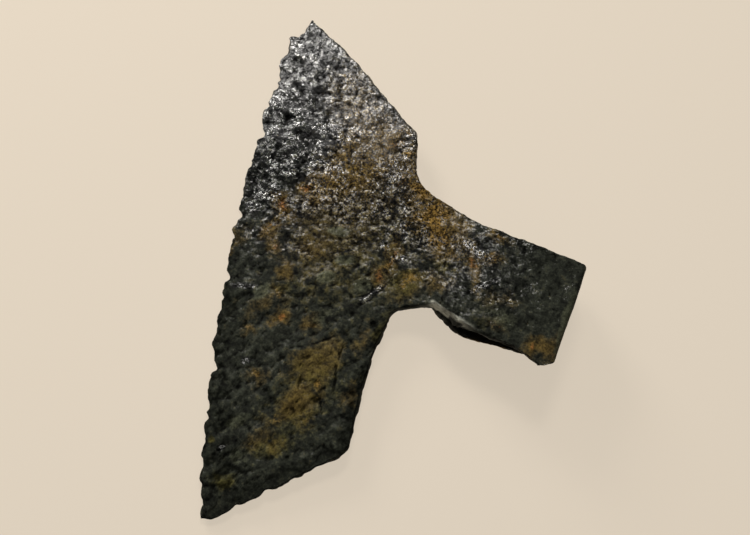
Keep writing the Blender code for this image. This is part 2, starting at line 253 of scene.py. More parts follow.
@dataclass(frozen=True)
class Path:
    """A path in the x, y plane, of straight runs with rounded corners.

    Attributes:
        corners: x, y and rounding radius of each corner, in mm; the two ends aren't rounded.
        arc_points: Points on each rounded corner.
    """

    corners: tuple[Triple, ...]
    arc_points: int = 24

    def points(self) -> tuple[Array, list[int]]:
        """Follows the path; each corner's arc runs from one straight run to the next, tangent to both.

        Returns:
            The points, and for each corner the index of the middle of its arc.
        """
        points = [np.array([self.corners[0][:2]])]
        middles = [0]
        count = 1
        for before, corner, after in zip(self.corners, self.corners[1:], self.corners[2:]):
            arc = self._arc(np.array(before[:2]), corner, np.array(after[:2]))
            points.append(arc)
            count += len(arc)
            middles.append(count - 1 - len(arc) // 2)
        points.append(np.array([self.corners[-1][:2]]))
        middles.append(count)
        return np.vstack(points), middles

    def _arc(self, before: Array, corner: Triple, after: Array) -> Array:
        """The arc that rounds one corner, as a turn between its two ends about its centre."""
        at = np.array(corner[:2])
        back, ahead = before - at, after - at
        back_length, ahead_length = np.linalg.norm(back), np.linalg.norm(ahead)
        back, ahead = back / back_length, ahead / ahead_length
        half_angle = math.acos(float(np.clip(back @ ahead, -1, 1))) / 2
        reach = min(corner[2] / math.tan(half_angle), 0.45 * back_length, 0.45 * ahead_length)
        radius = reach * math.tan(half_angle)
        middle = (back + ahead) / np.linalg.norm(back + ahead)
        centre = at + middle * radius / math.sin(half_angle)
        start, end = at + back * reach - centre, at + ahead * reach - centre
        sweep = math.pi - 2 * half_angle
        share = np.linspace(0, 1, self.arc_points + 1)[:, None]
        return centre + (np.sin((1 - share) * sweep) * start + np.sin(share * sweep) * end) / math.sin(sweep)


def distances(points: Array) -> Array:
    """The distance along a path to each of its points."""
    return np.concatenate([[0], np.cumsum(np.linalg.norm(np.diff(points, axis=0), axis=1))])


def spaced(points: Array, cells: int) -> Array:
    """A path's points again, evenly spaced.

    Args:
        points: The path, shaped (n, 2).
        cells: How many stretches to cut it into.

    Returns:
        Points, shaped (cells + 1, 2).
    """
    along = distances(points)
    wanted = np.linspace(0, along[-1], cells + 1)
    return np.stack([np.interp(wanted, along, points[:, k]) for k in range(2)], 1)


def left_of(points: Array) -> Array:
    """The unit normal on the left of each point of a path."""
    ahead = np.gradient(points, axis=0)
    normal = np.stack([-ahead[:, 1], ahead[:, 0]], 1)
    return normal / np.linalg.norm(normal, axis=1, keepdims=True)


# The forged form


class Side(Enum):
    """The two faces of the head: the seen cheek's, and the one it lies on."""

    NEAR = 1
    FAR = -1


@dataclass(frozen=True)
class Outline:
    """The head's outline in the plane of the blade. Sizes in mm.

    Attributes:
        edge_low: The cutting edge's lower corner. This and the corners below are x, y and rounding radius.
        edge_top: Its upper corner, before the tip broke off.
        edge_bow: How far the cutting edge bows forward.
        chip_height: Height of the broken corner.
        chip_depth: Depth of the step where it broke off.
        tip_depth: How far the broken tip lies behind the upper corner.
        lower_turn: Where the blade's lower edge turns a little.
        heel_bevel: Where the beard's slanted end begins.
        heel: Where it ends.
        beard_hollow: Middle of the beard's hollow back.
        neck_low: Where the beard meets the socket.
        notch: The fold above the beard's notch.
        near_under: Corners of the near cheek's lower edge, with the one that droops.
        far_under: Corners of the far cheek's lower edge.
        upper_turn: Where the blade's upper edge turns a little.
        shoulder: The shoulder.
        neck_top: Where the shoulder meets the socket.
        socket_front: The front of the socket's top line.
        poll_top: The poll's upper corner.
        poll_middle: Where the outline ends, on the poll.
        nicks: Nicks in the cutting edge: height, depth (negative for a tooth) and width.
        bites: Bites out of the lower edge: how far along it from its tip, depth and width.
        ragged: Height of the cutting edge's finer raggedness.
        ragged_size: Length of its largest waves.
    """

    edge_low: Triple = (-126.2, -132.0, 0.0)
    edge_top: Triple = (-158.1, 98.0, 0.0)
    edge_bow: float = 10.4
    chip_height: float = 11.8
    chip_depth: float = 3.7
    tip_depth: float = 5.2
    lower_turn: Triple = (-120.3, -130.3, 12.0)
    heel_bevel: Triple = (-77.9, -88.6, 2.0)
    heel: Triple = (-74.8, -82.8, 2.0)
    beard_hollow: Triple = (-78.2, -48.0, 120.0)
    neck_low: Triple = (-75.2, -19.2, 7.0)
    notch: Triple = (-59.5, -11.2, 3.0)
    near_under: tuple[Triple, ...] = (
        (-42.0, -17.6, 18.0), (-15.5, -20.4, 18.0), (-4.8, -24.4, 3.5), (0.0, -20.8, 1.8),
    )
    far_under: tuple[Triple, ...] = ((-44.0, -18.6, 18.0), (0.0, -17.0, 1.8))
    upper_turn: Triple = (-131.5, 87.5, 12.0)
    shoulder: Triple = (-90.3, 61.5, 2.5)
    neck_top: Triple = (-82.9, 38.6, 14.0)
    socket_front: Triple = (-46.0, 27.8, 30.0)
    poll_top: Triple = (0.0, 26.4, 1.8)
    poll_middle: Triple = (0.0, 0.0, 0.0)
    nicks: tuple[Triple, ...] = (
        (88.0, -1.0, 5.0), (80.0, 0.9, 3.0), (74.0, -1.6, 6.0), (66.0, 1.3, 2.6),
        (62.5, 1.3, 3.6), (55.0, -0.5, 3.0), (48.0, -1.3, 7.0), (39.0, 2.1, 4.0),
        (30.0, -0.4, 3.0), (24.0, 0.5, 3.0), (18.5, -0.8, 6.0), (9.0, 0.4, 3.0),
        (3.4, -0.6, 2.6), (0.2, 1.6, 3.0), (-6.8, -0.8, 2.4), (-10.0, 1.1, 2.6),
        (-19.0, -0.8, 4.6), (-28.0, 1.6, 4.2), (-37.0, 0.6, 3.0), (-47.0, -0.9, 5.0),
        (-58.0, -0.6, 4.6), (-68.0, 2.2, 5.0), (-77.5, -0.5, 5.0), (-86.0, 1.3, 3.0),
        (-90.2, 1.3, 3.4), (-98.0, 0.5, 2.6), (-104.5, -1.3, 6.0), (-115.0, -1.0, 6.0),
        (-125.8, 0.7, 3.0),
    )
    bites: tuple[Triple, ...] = ((16.5, 1.2, 4.5), (30.5, 1.1, 5.0), (44.0, 0.6, 5.0), (55.0, 0.5, 4.0))
    ragged: float = 0.42
    ragged_size: float = 3.4

    def lower(self, side: Side) -> tuple[Array, int, int]:
        """From the edge's lower corner round the beard and under the socket to the poll.

        Args:
            side: Whose cheek the underside is for.

        Returns:
            The points and the indices of the beard's end and of the neck's corner.
        """
        under = self.near_under if side is Side.NEAR else self.far_under
        beard = (self.edge_low, self.lower_turn, self.heel_bevel, self.heel, self.beard_hollow, self.neck_low)
        points, middles = Path((*beard, self.notch, *under, self.poll_middle)).points()
        return points, middles[beard.index(self.heel_bevel)], middles[beard.index(self.neck_low)]

    def upper(self) -> tuple[Array, int, int]:
        """From the edge's upper corner over the shoulder and the socket to the poll.

        Returns:
            The points and the indices of the shoulder and of the neck's corner.
        """
        tip = (self.edge_top[0] + self.tip_depth, self.edge_top[1], 0.0)
        blade = (tip, self.upper_turn, self.shoulder, self.neck_top)
        points, middles = Path((*blade, self.socket_front, self.poll_top, self.poll_middle)).points()
        return points, middles[blade.index(self.shoulder)], middles[blade.index(self.neck_top)]

    def cutting_edge(self, shares: Array) -> Array:
        """The ragged edge: a chord bowed forward by a parabola, less its nicks and the broken corner.

        Args:
            shares: Shares of its height from the lower corner to the upper one.

        Returns:
            Points, shaped (n, 2).
        """
        low_x, low_y, _ = self.edge_low
        y = low_y + shares * (self.edge_top[1] - low_y)
        x = low_x + shares * (self.edge_top[0] - low_x)
        x = x - self.edge_bow * (1 - (2 * shares - 1) ** 2)
        for height, depth, width in self.nicks:
            x = x + depth * np.exp(-np.abs((y - height) / (width / 2)) ** 3)
        chipped = np.clip((y - self.edge_top[1] + self.chip_height) / self.chip_height, 0, 1)
        x = x + ease(5 * chipped) * (self.chip_depth + (self.tip_depth - self.chip_depth) * chipped)
        flat = np.column_stack([y, np.zeros((len(y), 2))])
        ends = between(0, 0.02, shares) * between(1, 0.98, shares)
        x = x + ends * self.ragged * Lumps(self.ragged_size, 71, layers=3)(flat)
        return np.stack([x, y], 1)

    def bitten(self, path: Array) -> Array:
        """The lower edge with its shallow bites, each a rounded notch square to the edge.

        Args:
            path: The smooth lower edge, from its tip.

        Returns:
            The path with its bites.
        """
        along = distances(path)
        depth = np.zeros(len(path))
        for place, deep, width in self.bites:
            depth += deep * np.exp(-np.abs((along - place) / (width / 2)) ** 1.6)
        flat = np.column_stack([along, np.zeros((len(path), 2))])
        depth += 0.25 * Lumps(6.0, 72)(flat) * between(0, 3, along)
        depth *= between(along[-1], along[-1] - 4, along)
        return path + left_of(path) * depth[:, None]


@dataclass(frozen=True)
class Rim:
    """How every edge of the head turns from a face onto the rim: a quarter ellipse, then a flat.

    Attributes:
        rise: How far the rounding reaches down the face, in mm.
        run: How far it reaches across the rim, in mm.
        turn_cells: Mesh cells round the ellipse.
        flat_cells: Mesh cells across the flat.
    """

    rise: float = 0.9
    run: float = 1.6
    turn_cells: int = 3
    flat_cells: int = 3

    def rows(self, face: Array, edge: Array, outer_z: Array, inner_z: Array, inner: Array) -> Array:
        """Carries a face's border over the rim to the rim's inner line.

        Args:
            face: The face's border in x, y, shaped (n, 2).
            edge: The outline there, in x, y.
            outer_z: Height of the face's border.
            inner_z: Height of the rim's inner line.
            inner: The rim's inner line in x, y.

        Returns:
            Points, shaped (rows, n, 3).
        """
        inward = inner - edge
        width = np.hypot(np.linalg.norm(inward, axis=1), outer_z - inner_z)
        run = np.minimum(self.run / np.maximum(width, 1e-6), 0.6)[None]
        turn = np.linspace(0, math.pi / 2, self.turn_cells + 1)[:, None]
        flat = np.linspace(0, 1, self.flat_cells + 1)[1:, None]
        down = np.vstack([np.sin(turn), np.ones_like(flat)])[..., None]
        across = np.vstack([run * (1 - np.cos(turn)), run + (1 - run) * flat])
        plan = face + (edge - face) * down + inward * across[..., None]
        return np.dstack([plan, outer_z + (inner_z - outer_z) * across])


@dataclass(frozen=True)
class Blade:
    """The blade with its beard: a wedge from the thin cutting edge to the neck. Sizes in mm.

    Attributes:
        outline: The head's outline.
        rim: How its edges are rounded.
        edge_thickness: Thickness at the cutting edge.
        heel_thickness: Thickness at the heel of the beard.
        neck_thickness: Thickness along the neck.
        shoulder_thickness: Thickness at the shoulder.
        cells_along: Mesh cells from the cutting edge to the back.
        cells_up: Mesh cells beside the beard, the neck and the shoulder.
        relax_rounds: How often each point moves to the middle of its neighbours, to spread creases.
    """

    outline: Outline
    rim: Rim
    edge_thickness: float = 1.7
    heel_thickness: float = 4.2
    neck_thickness: float = 8.8
    shoulder_thickness: float = 5.6
    cells_along: int = 98
    cells_up: tuple[int, int, int] = (112, 104, 56)
    relax_rounds: int = 80

    def surfaces(self, side: Side, neck_low: Array, neck_top: Array) -> list[Array]:
        """The blade's face and its four rims on one side.

        The face is a Coons patch: the sum of the sheets ruled between opposite borders, less the sheet
        through the four corners. Its height is half the thickness, which grows with the share of the way
        from the cutting edge to the power 0.85.

        Args:
            side: Which side.
            neck_low: The socket's lower corner at the neck and the way inwards there, shaped (2, 2).
            neck_top: The same at the neck's upper corner.

        Returns:
            Grids of points, each shaped (rows, columns, 3).
        """
        beard_cells, neck_cells, shoulder_cells = self.cells_up
        lower, heel, low = self.outline.lower(side)
        upper, shoulder, top = self.outline.upper()
        bottom = self.outline.bitten(spaced(lower[: heel + 1], self.cells_along))
        over = spaced(upper[: shoulder + 1], self.cells_along)
        beard = spaced(lower[heel : low + 1], beard_cells)
        back_top = spaced(upper[shoulder : top + 1], shoulder_cells)[::-1]
        neck = np.linspace(neck_low[0], neck_top[0], neck_cells + 1)
        back = np.vstack([beard[:-1], neck, back_top[1:]])
        heights = distances(back) / distances(back)[-1]
        front = self.outline.cutting_edge(heights)
        over[0], bottom[0] = front[-1], front[0]

        borders = self._insets(front, bottom, over, beard, back_top, neck_low[1], neck_top[1])
        face_front, face_bottom, face_over, face_beard, face_back_top = borders
        face_neck = np.linspace(face_beard[-1], face_back_top[0], neck_cells + 1)
        face_back = np.vstack([face_beard[:-1], face_neck, face_back_top[1:]])

        s = np.linspace(0, 1, self.cells_along + 1)[:, None, None]
        t = heights[None, :, None]
        plan = (1 - t) * face_bottom[:, None] + t * face_over[:, None]
        plan = plan + (1 - s) * face_front[None] + s * face_back[None]
        plan = plan - (1 - s) * ((1 - t) * face_front[0] + t * face_front[-1])
        plan = plan - s * ((1 - t) * face_back[0] + t * face_back[-1])
        face = np.dstack([plan, side.value * self._half_thickness(s[:, :, 0])])
        for _ in range(self.relax_rounds):
            around = face[:-2, 1:-1] + face[2:, 1:-1] + face[1:-1, :-2] + face[1:-1, 2:]
            face[1:-1, 1:-1] = around / 4

        z = face[..., 2]
        low_end, top_end = beard_cells + 1, beard_cells + neck_cells
        rims = [
            (face_front, front, z[0]),
            (face_bottom, bottom, z[:, 0]),
            (face_over, over, z[:, -1]),
            (face_beard, beard, z[-1, :low_end]),
            (face_back_top, back_top, z[-1, top_end:]),
        ]
        return [face] + [self.rim.rows(a, b, c, np.zeros(len(b)), b) for a, b, c in rims]

    def _insets(
        self,
        front: Array,
        bottom: Array,
        over: Array,
        beard: Array,
        back_top: Array,
        low_inward: Array,
        top_inward: Array,
    ) -> list[Array]:
        """The face's borders: the outline drawn in square to itself by the rim's rise."""
        inward = [-left_of(front), left_of(bottom), -left_of(over), left_of(beard), left_of(back_top)]
        for one, other, end in ((0, 1, 0), (0, 2, -1)):
            start = 0 if other == 2 else end
            mean = inward[one][end] + inward[other][start]
            inward[one][end] = inward[other][start] = mean / np.linalg.norm(mean)
        inward[1][-1] = inward[3][0] = (inward[1][-1] + inward[3][0]) / 2
        inward[2][-1] = inward[4][-1] = (inward[2][-1] + inward[4][-1]) / 2
        inward[3][-1], inward[4][0] = low_inward, top_inward
        paths = (front, bottom, over, beard, back_top)
        return [path + self.rim.rise * way for path, way in zip(paths, inward)]

    def _half_thickness(self, share: Array) -> Array:
        """Half the thickness over the face, for shares of the way from the cutting edge."""
        beard_cells, neck_cells, shoulder_cells = self.cells_up
        rising = ease(np.linspace(0, 1, beard_cells + 1))
        falling = ease(np.linspace(0, 1, shoulder_cells + 1))
        spine = np.concatenate(
            [
                self.heel_thickness + (self.neck_thickness - self.heel_thickness) * rising,
                np.full(neck_cells - 1, self.neck_thickness),
                self.neck_thickness + (self.shoulder_thickness - self.neck_thickness) * falling,
            ]
        )
        return (self.edge_thickness + (spine[None] - self.edge_thickness) * share**0.85) / 2


@dataclass(frozen=True)
class Socket:
    """The neck and the socket: a strap folded round the haft's eye. Sizes in mm.

    Attributes:
        outline: The head's outline.
        rim: How its edges are rounded.
        neck_thickness: Thickness where the blade ends.
        swell_start: How far from the poll it begins to swell.
        swell_reach: How far from the poll it reaches its full width.
        swell_radius: Rounding of both ends of the swell.
        width: Its width over the cheeks.
        poll_width: Its width at the poll.
        poll_edge_radius: Rounding of the poll's two upright edges.
        poll_lean: How far the poll leans out for each mm of height.
        eye_length: Length of the eye.
        eye_width: Its greatest width.
        eye_back_width: Its width at the poll.
        eye_point: Length of its blunt point.
        eye_radius: Rounding of its corners.
        poll_wall: Thickness of the wall behind it.
        lip_drop: How far the worn inner lip hangs below the near cheek, at most.
        lip_span: Where that lip starts, is lowest and ends, as reach from the poll.
        cells: Mesh cells before the eye, beside it and across half the poll.
        wall_cells: Mesh cells down through the eye.
    """

    outline: Outline
    rim: Rim
    neck_thickness: float = 8.8
    swell_start: float = 69.0
    swell_reach: float = 45.0
    swell_radius: float = 45.0
    width: float = 30.0
    poll_width: float = 25.0
    poll_edge_radius: float = 3.0
    poll_lean: float = 0.03
    eye_length: float = 45.0
    eye_width: float = 20.0
    eye_back_width: float = 17.6
    eye_point: float = 8.0
    eye_radius: float = 4.0
    poll_wall: float = 5.5
    lip_drop: float = 2.4
    lip_span: Triple = (61.0, 53.0, 34.0)
    cells: tuple[int, int, int] = (36, 56, 15)
    wall_cells: int = 36

    def stations(self) -> tuple[Array, Array]:
        """The socket's plan on one side: outer points, and the inner ones they are paired with.

        Returns:
            Outer and inner points as x and distance from the blade's plane, each shaped (n, 2).
        """
        neck = (self.outline.neck_low[0] + self.outline.neck_top[0]) / 2
        eye_front = -self.poll_wall - self.eye_length
        outer, places = Path(
            (
                (neck, self.neck_thickness / 2, 0.0),
                (-self.swell_start, self.neck_thickness / 2, self.swell_radius),
                (-self.swell_reach, self.width / 2, self.swell_radius),
                (0.0, self.poll_width / 2, self.poll_edge_radius),
                (0.0, 0.0, 0.0),
            )
        ).points()
        inner, turns = Path(
            (
                (eye_front, 0.0, 0.0),
                (eye_front + self.eye_point, self.eye_width / 2, self.eye_radius),
                (-self.poll_wall, self.eye_back_width / 2, self.eye_radius),
                (-self.poll_wall, 0.0, 0.0),
            )
        ).points()
        before_cells, beside_cells, poll_cells = self.cells
        start = int(np.searchsorted(outer[: places[3], 0], eye_front))
        share = (eye_front - outer[start - 1, 0]) / (outer[start, 0] - outer[start - 1, 0])
        beside_front = outer[start - 1] + share * (outer[start] - outer[start - 1])
        before = spaced(np.vstack([outer[:start], beside_front]), before_cells)
        beside = spaced(np.vstack([beside_front, outer[start : places[3] + 1]]), beside_cells)
        behind = spaced(outer[places[3] :], poll_cells)
        middle = np.stack([before[:, 0], np.zeros(len(before))], 1)
        inner_beside = spaced(inner[: turns[2] + 1], beside_cells)
        inner_behind = spaced(inner[turns[2] :], poll_cells)
        outside = np.vstack([before, beside[1:], behind[1:]])
        return outside, np.vstack([middle[:-1], inner_beside, inner_behind[1:]])

    def surfaces(self, side: Side, neck_cells: int) -> tuple[list[Array], Array, Array]:
        """The outer face, the rims above and below, and the eye's wall, on one side.

        The face is ruled upright between the socket's lower and upper lines, at the plan's distance from
        the blade's plane.

        Args:
            side: Which side.
            neck_cells: Mesh cells up the neck, shared with the blade.

        Returns:
            Grids of points, then the neck's lower and upper corners, each with the way inwards there.
        """
        lower, _, low_at = self.outline.lower(side)
        other, _, _ = self.outline.lower(Side(-side.value))
        upper, _, top_at = self.outline.upper()
        lower, other, upper = lower[low_at:-1], other[low_at:-1], upper[top_at:-1]
        outside, inside = self.stations()
        x, z = outside.T
        in_x, in_z = inside.T
        first = self.cells[0]
        turn = 1 - ease((x - x[0]) / (x[first] - x[0]))
        low_x = x + (lower[0, 0] - x[0]) * turn
        top_x = x + (upper[0, 0] - x[0]) * turn

        def under(at_x: Array, at_z: Array) -> Array:
            """Height of the underside, which evens out between the cheeks across the middle."""
            own = np.interp(at_x, lower[:, 0], lower[:, 1])
            across = np.interp(at_x, other[:, 0], other[:, 1])
            return own + (across - own) * (0.5 - 0.5 * np.clip(at_z / (self.eye_back_width / 2), 0, 1))

        low = np.stack([low_x, under(low_x, z)], 1)
        top = np.stack([top_x, np.interp(top_x, upper[:, 0], upper[:, 1])], 1)
        low_in = self._inwards(low_x, lower, left_of(lower), turn, 1)
        top_in = self._inwards(top_x, upper, -left_of(upper), turn, -1)
        face_low, face_top = low + self.rim.rise * low_in, top + self.rim.rise * top_in
        t = np.linspace(0, 1, neck_cells + 1)[None, :, None]
        plan = face_low[:, None] * (1 - t) + face_top[:, None] * t
        face = np.dstack([plan, np.broadcast_to(side.value * z[:, None], plan.shape[:2])])

        inner_low = np.stack([in_x, under(in_x, in_z)], 1)
        inner_top = np.stack([in_x, np.interp(in_x, upper[:, 0], upper[:, 1])], 1)
        inner_low[:first] = np.stack([low_x, under(low_x, in_z)], 1)[:first]
        inner_top[:first] = top[:first]
        inner_low[:, 1] -= self._lip(in_x, in_z, side)
        rim_low = self.rim.rows(face_low, low, side.value * z, side.value * in_z, inner_low)
        rim_top = self.rim.rows(face_top, top, side.value * z, side.value * in_z, inner_top)
        w = np.linspace(0, 1, self.wall_cells + 1)[None, :, None]
        wall = rim_low[-1, first:, None] * (1 - w) + rim_top[-1, first:, None] * w
        grids = [face, rim_low, rim_top, wall]
        for grid in grids:
            lean = np.clip(1 + grid[..., 0] / self.eye_length, 0, 1)
            grid[..., 0] += self.poll_lean * grid[..., 1] * lean
        return grids, np.array([low[0], low_in[0]]), np.array([top[0], top_in[0]])

    @staticmethod
    def _inwards(at_x: Array, path: Array, normals: Array, turn: Array, upright: int) -> Array:
        """The way into the face from its border: square to the path at the neck, upright on the cheek."""
        square = np.stack([np.interp(at_x, path[:, 0], normals[:, k]) for k in range(2)], 1)
        way = square * turn[:, None] + np.array([0, upright]) * (1 - turn[:, None])
        return way / np.linalg.norm(way, axis=1, keepdims=True)

    def _lip(self, at_x: Array, at_z: Array, side: Side) -> Array:
        """How far the worn lip hangs down: it rises from both ends of its span, on the near side only."""
        if side is Side.FAR:
            return np.zeros(len(at_x))
        start, lowest, end = (-reach for reach in self.lip_span)
        return self.lip_drop * between(start, lowest, at_x) * between(end, lowest, at_x) * between(0, 3, at_z)


@dataclass
class Skin:
    """A closed mesh in the head's own frame, with its vertices as arrays."""

    mesh: bpy.types.Mesh
    place: Array = field(init=False)
    normal: Array = field(init=False)

    def __post_init__(self) -> None:
        """Reads the vertices' places and normals."""
        count = len(self.mesh.vertices)
        self.place, self.normal = np.zeros(count * 3), np.zeros(count * 3)
        self.mesh.vertices.foreach_get("co", self.place)
        self.mesh.vertices.foreach_get("normal", self.normal)
        self.place, self.normal = self.place.reshape(-1, 3), self.normal.reshape(-1, 3)

    @classmethod
    def welded(cls, name: str, grids: Iterable[Array], weld: float = 1e-4) -> "Skin":
        """Joins grids of points, edge to edge, into one closed mesh that faces outwards.

        Args:
            name: The mesh's name.
            grids: Grids of points, each shaped (rows, columns, 3).
            weld: Points nearer than this are one, in mm.

        Returns:
            The skin.
        """
        points, faces, start = [], [], 0
        for grid in grids:
            rows, columns, _ = grid.shape
            index = start + np.arange(rows * columns).reshape(rows, columns)
            corners = (index[:-1, :-1], index[:-1, 1:], index[1:, 1:], index[1:, :-1])
            faces.append(np.stack(corners, -1).reshape(-1, 4))
            points.append(grid.reshape(-1, 3))
            start += rows * columns
        mesh = bpy.data.meshes.new(name)
        mesh.from_pydata(np.vstack(points), [], np.vstack(faces))
        work = bmesh.new()
        work.from_mesh(mesh)
        bmesh.ops.remove_doubles(work, verts=work.verts, dist=weld)
        bmesh.ops.recalc_face_normals(work, faces=work.faces)
        work.to_mesh(mesh)
        work.free()
        return cls(mesh)

    def put(self, place: Array) -> None:
        """Moves the mesh's vertices to new places."""
        self.mesh.vertices.foreach_set("co", np.ascontiguousarray(place, np.float32).ravel())
        self.mesh.update()

    def sunk(self, height: Array, rounds: int) -> Array:
        """How far each vertex lies below the relief around it.

        The heights are replaced by the mean of their neighbours' again and again; what is left between
        that and the height is the depth.

        Args:
            height: The relief's height at each vertex, in mm.
            rounds: How often it is averaged: more rounds look further around.

        Returns:
            Depths in mm, below 0 on crests.
        """
        ends = np.zeros(len(self.mesh.edges) * 2, np.int32)
        self.mesh.edges.foreach_get("vertices", ends)
        one, other = ends.reshape(-1, 2).T
        count = len(height)
        neighbours = np.bincount(one, minlength=count) + np.bincount(other, minlength=count)
        level = height
        for _ in range(rounds):
            total = np.bincount(one, level[other], count) + np.bincount(other, level[one], count)
            level = (level + total) / (neighbours + 1)
        return level - height

    def paint(self, name: str, values: Array) -> None:
        """Keeps one number per vertex, for the finish to read."""
        layer = self.mesh.attributes.new(name, "FLOAT", "POINT")
        layer.data.foreach_set("value", np.ascontiguousarray(values, np.float32))


# Wear, rust and painted shade


@dataclass(frozen=True)
class Spot:
    """An oval place on the near face. Sizes in mm.

    Attributes:
        x: Its middle, from the poll.
        y: Its middle, from the socket's middle.
        length: Its whole length.
        width: Its whole width.
        turn: How far its length is turned from the x axis, in degrees.
        strength: What it adds at its middle.
    """

    x: float
    y: float
    length: float
    width: float
    turn: float = 0.0
    strength: float = 1.0

    def local(self, place: Array) -> tuple[Array, Array]:
        """Where points lie along and across the spot, counted in half lengths and half widths."""
        turn = math.radians(self.turn)
        x, y = place[:, 0] - self.x, place[:, 1] - self.y
        along = (x * math.cos(turn) + y * math.sin(turn)) / (self.length / 2)
        across = (-x * math.sin(turn) + y * math.cos(turn)) / (self.width / 2)
        return along, across

    def grown(self, factor: float, strength: float) -> "Spot":
        """The same spot, larger by a factor, for the halo round it."""
        return Spot(self.x, self.y, self.length * factor, self.width * factor, self.turn, strength)

    def __call__(self, place: Array) -> Array:
        """A bell over the spot: its strength at the middle, and near nothing past its border."""
        along, across = self.local(place)
        return self.strength * np.exp(-1.6 * (along**2 + across**2) ** 1.5)


def spots(*rows: tuple[float, ...]) -> tuple[Spot, ...]:
    """Spots from rows of x, y, length, width, turn and strength."""
    return tuple(Spot(*row) for row in rows)


def spread(places: Sequence[Spot], place: Array) -> Array:
    """The strongest of several spots at each point."""
    return np.max([spot(place) for spot in places], axis=0)


def beard_border(place: Array) -> Array:
    """How near each point is to the beard's lower edge or its back: 1 on them, and 0 from 10 mm inwards.

    The distance from the lower edge is the way from its tip, measured along the edge's inward normal.

    Args:
        place: Points of the smooth form, in mm.

    Returns:
        Numbers from 0 to 1.
    """
    tip, inward, back_x, socket_x = (-126.2, -132.0), (-0.669, 0.743), -77.5, -70
    x, y = place[:, 0], place[:, 1]
    from_edge = (x - tip[0]) * inward[0] + (y - tip[1]) * inward[1]
    low = between(10, 0, from_edge) * between(-55, -75, y)
    back = between(7, 0, back_x - x) * between(-14, -28, y)
    return np.where(x < socket_x, np.maximum(low, back), 0)


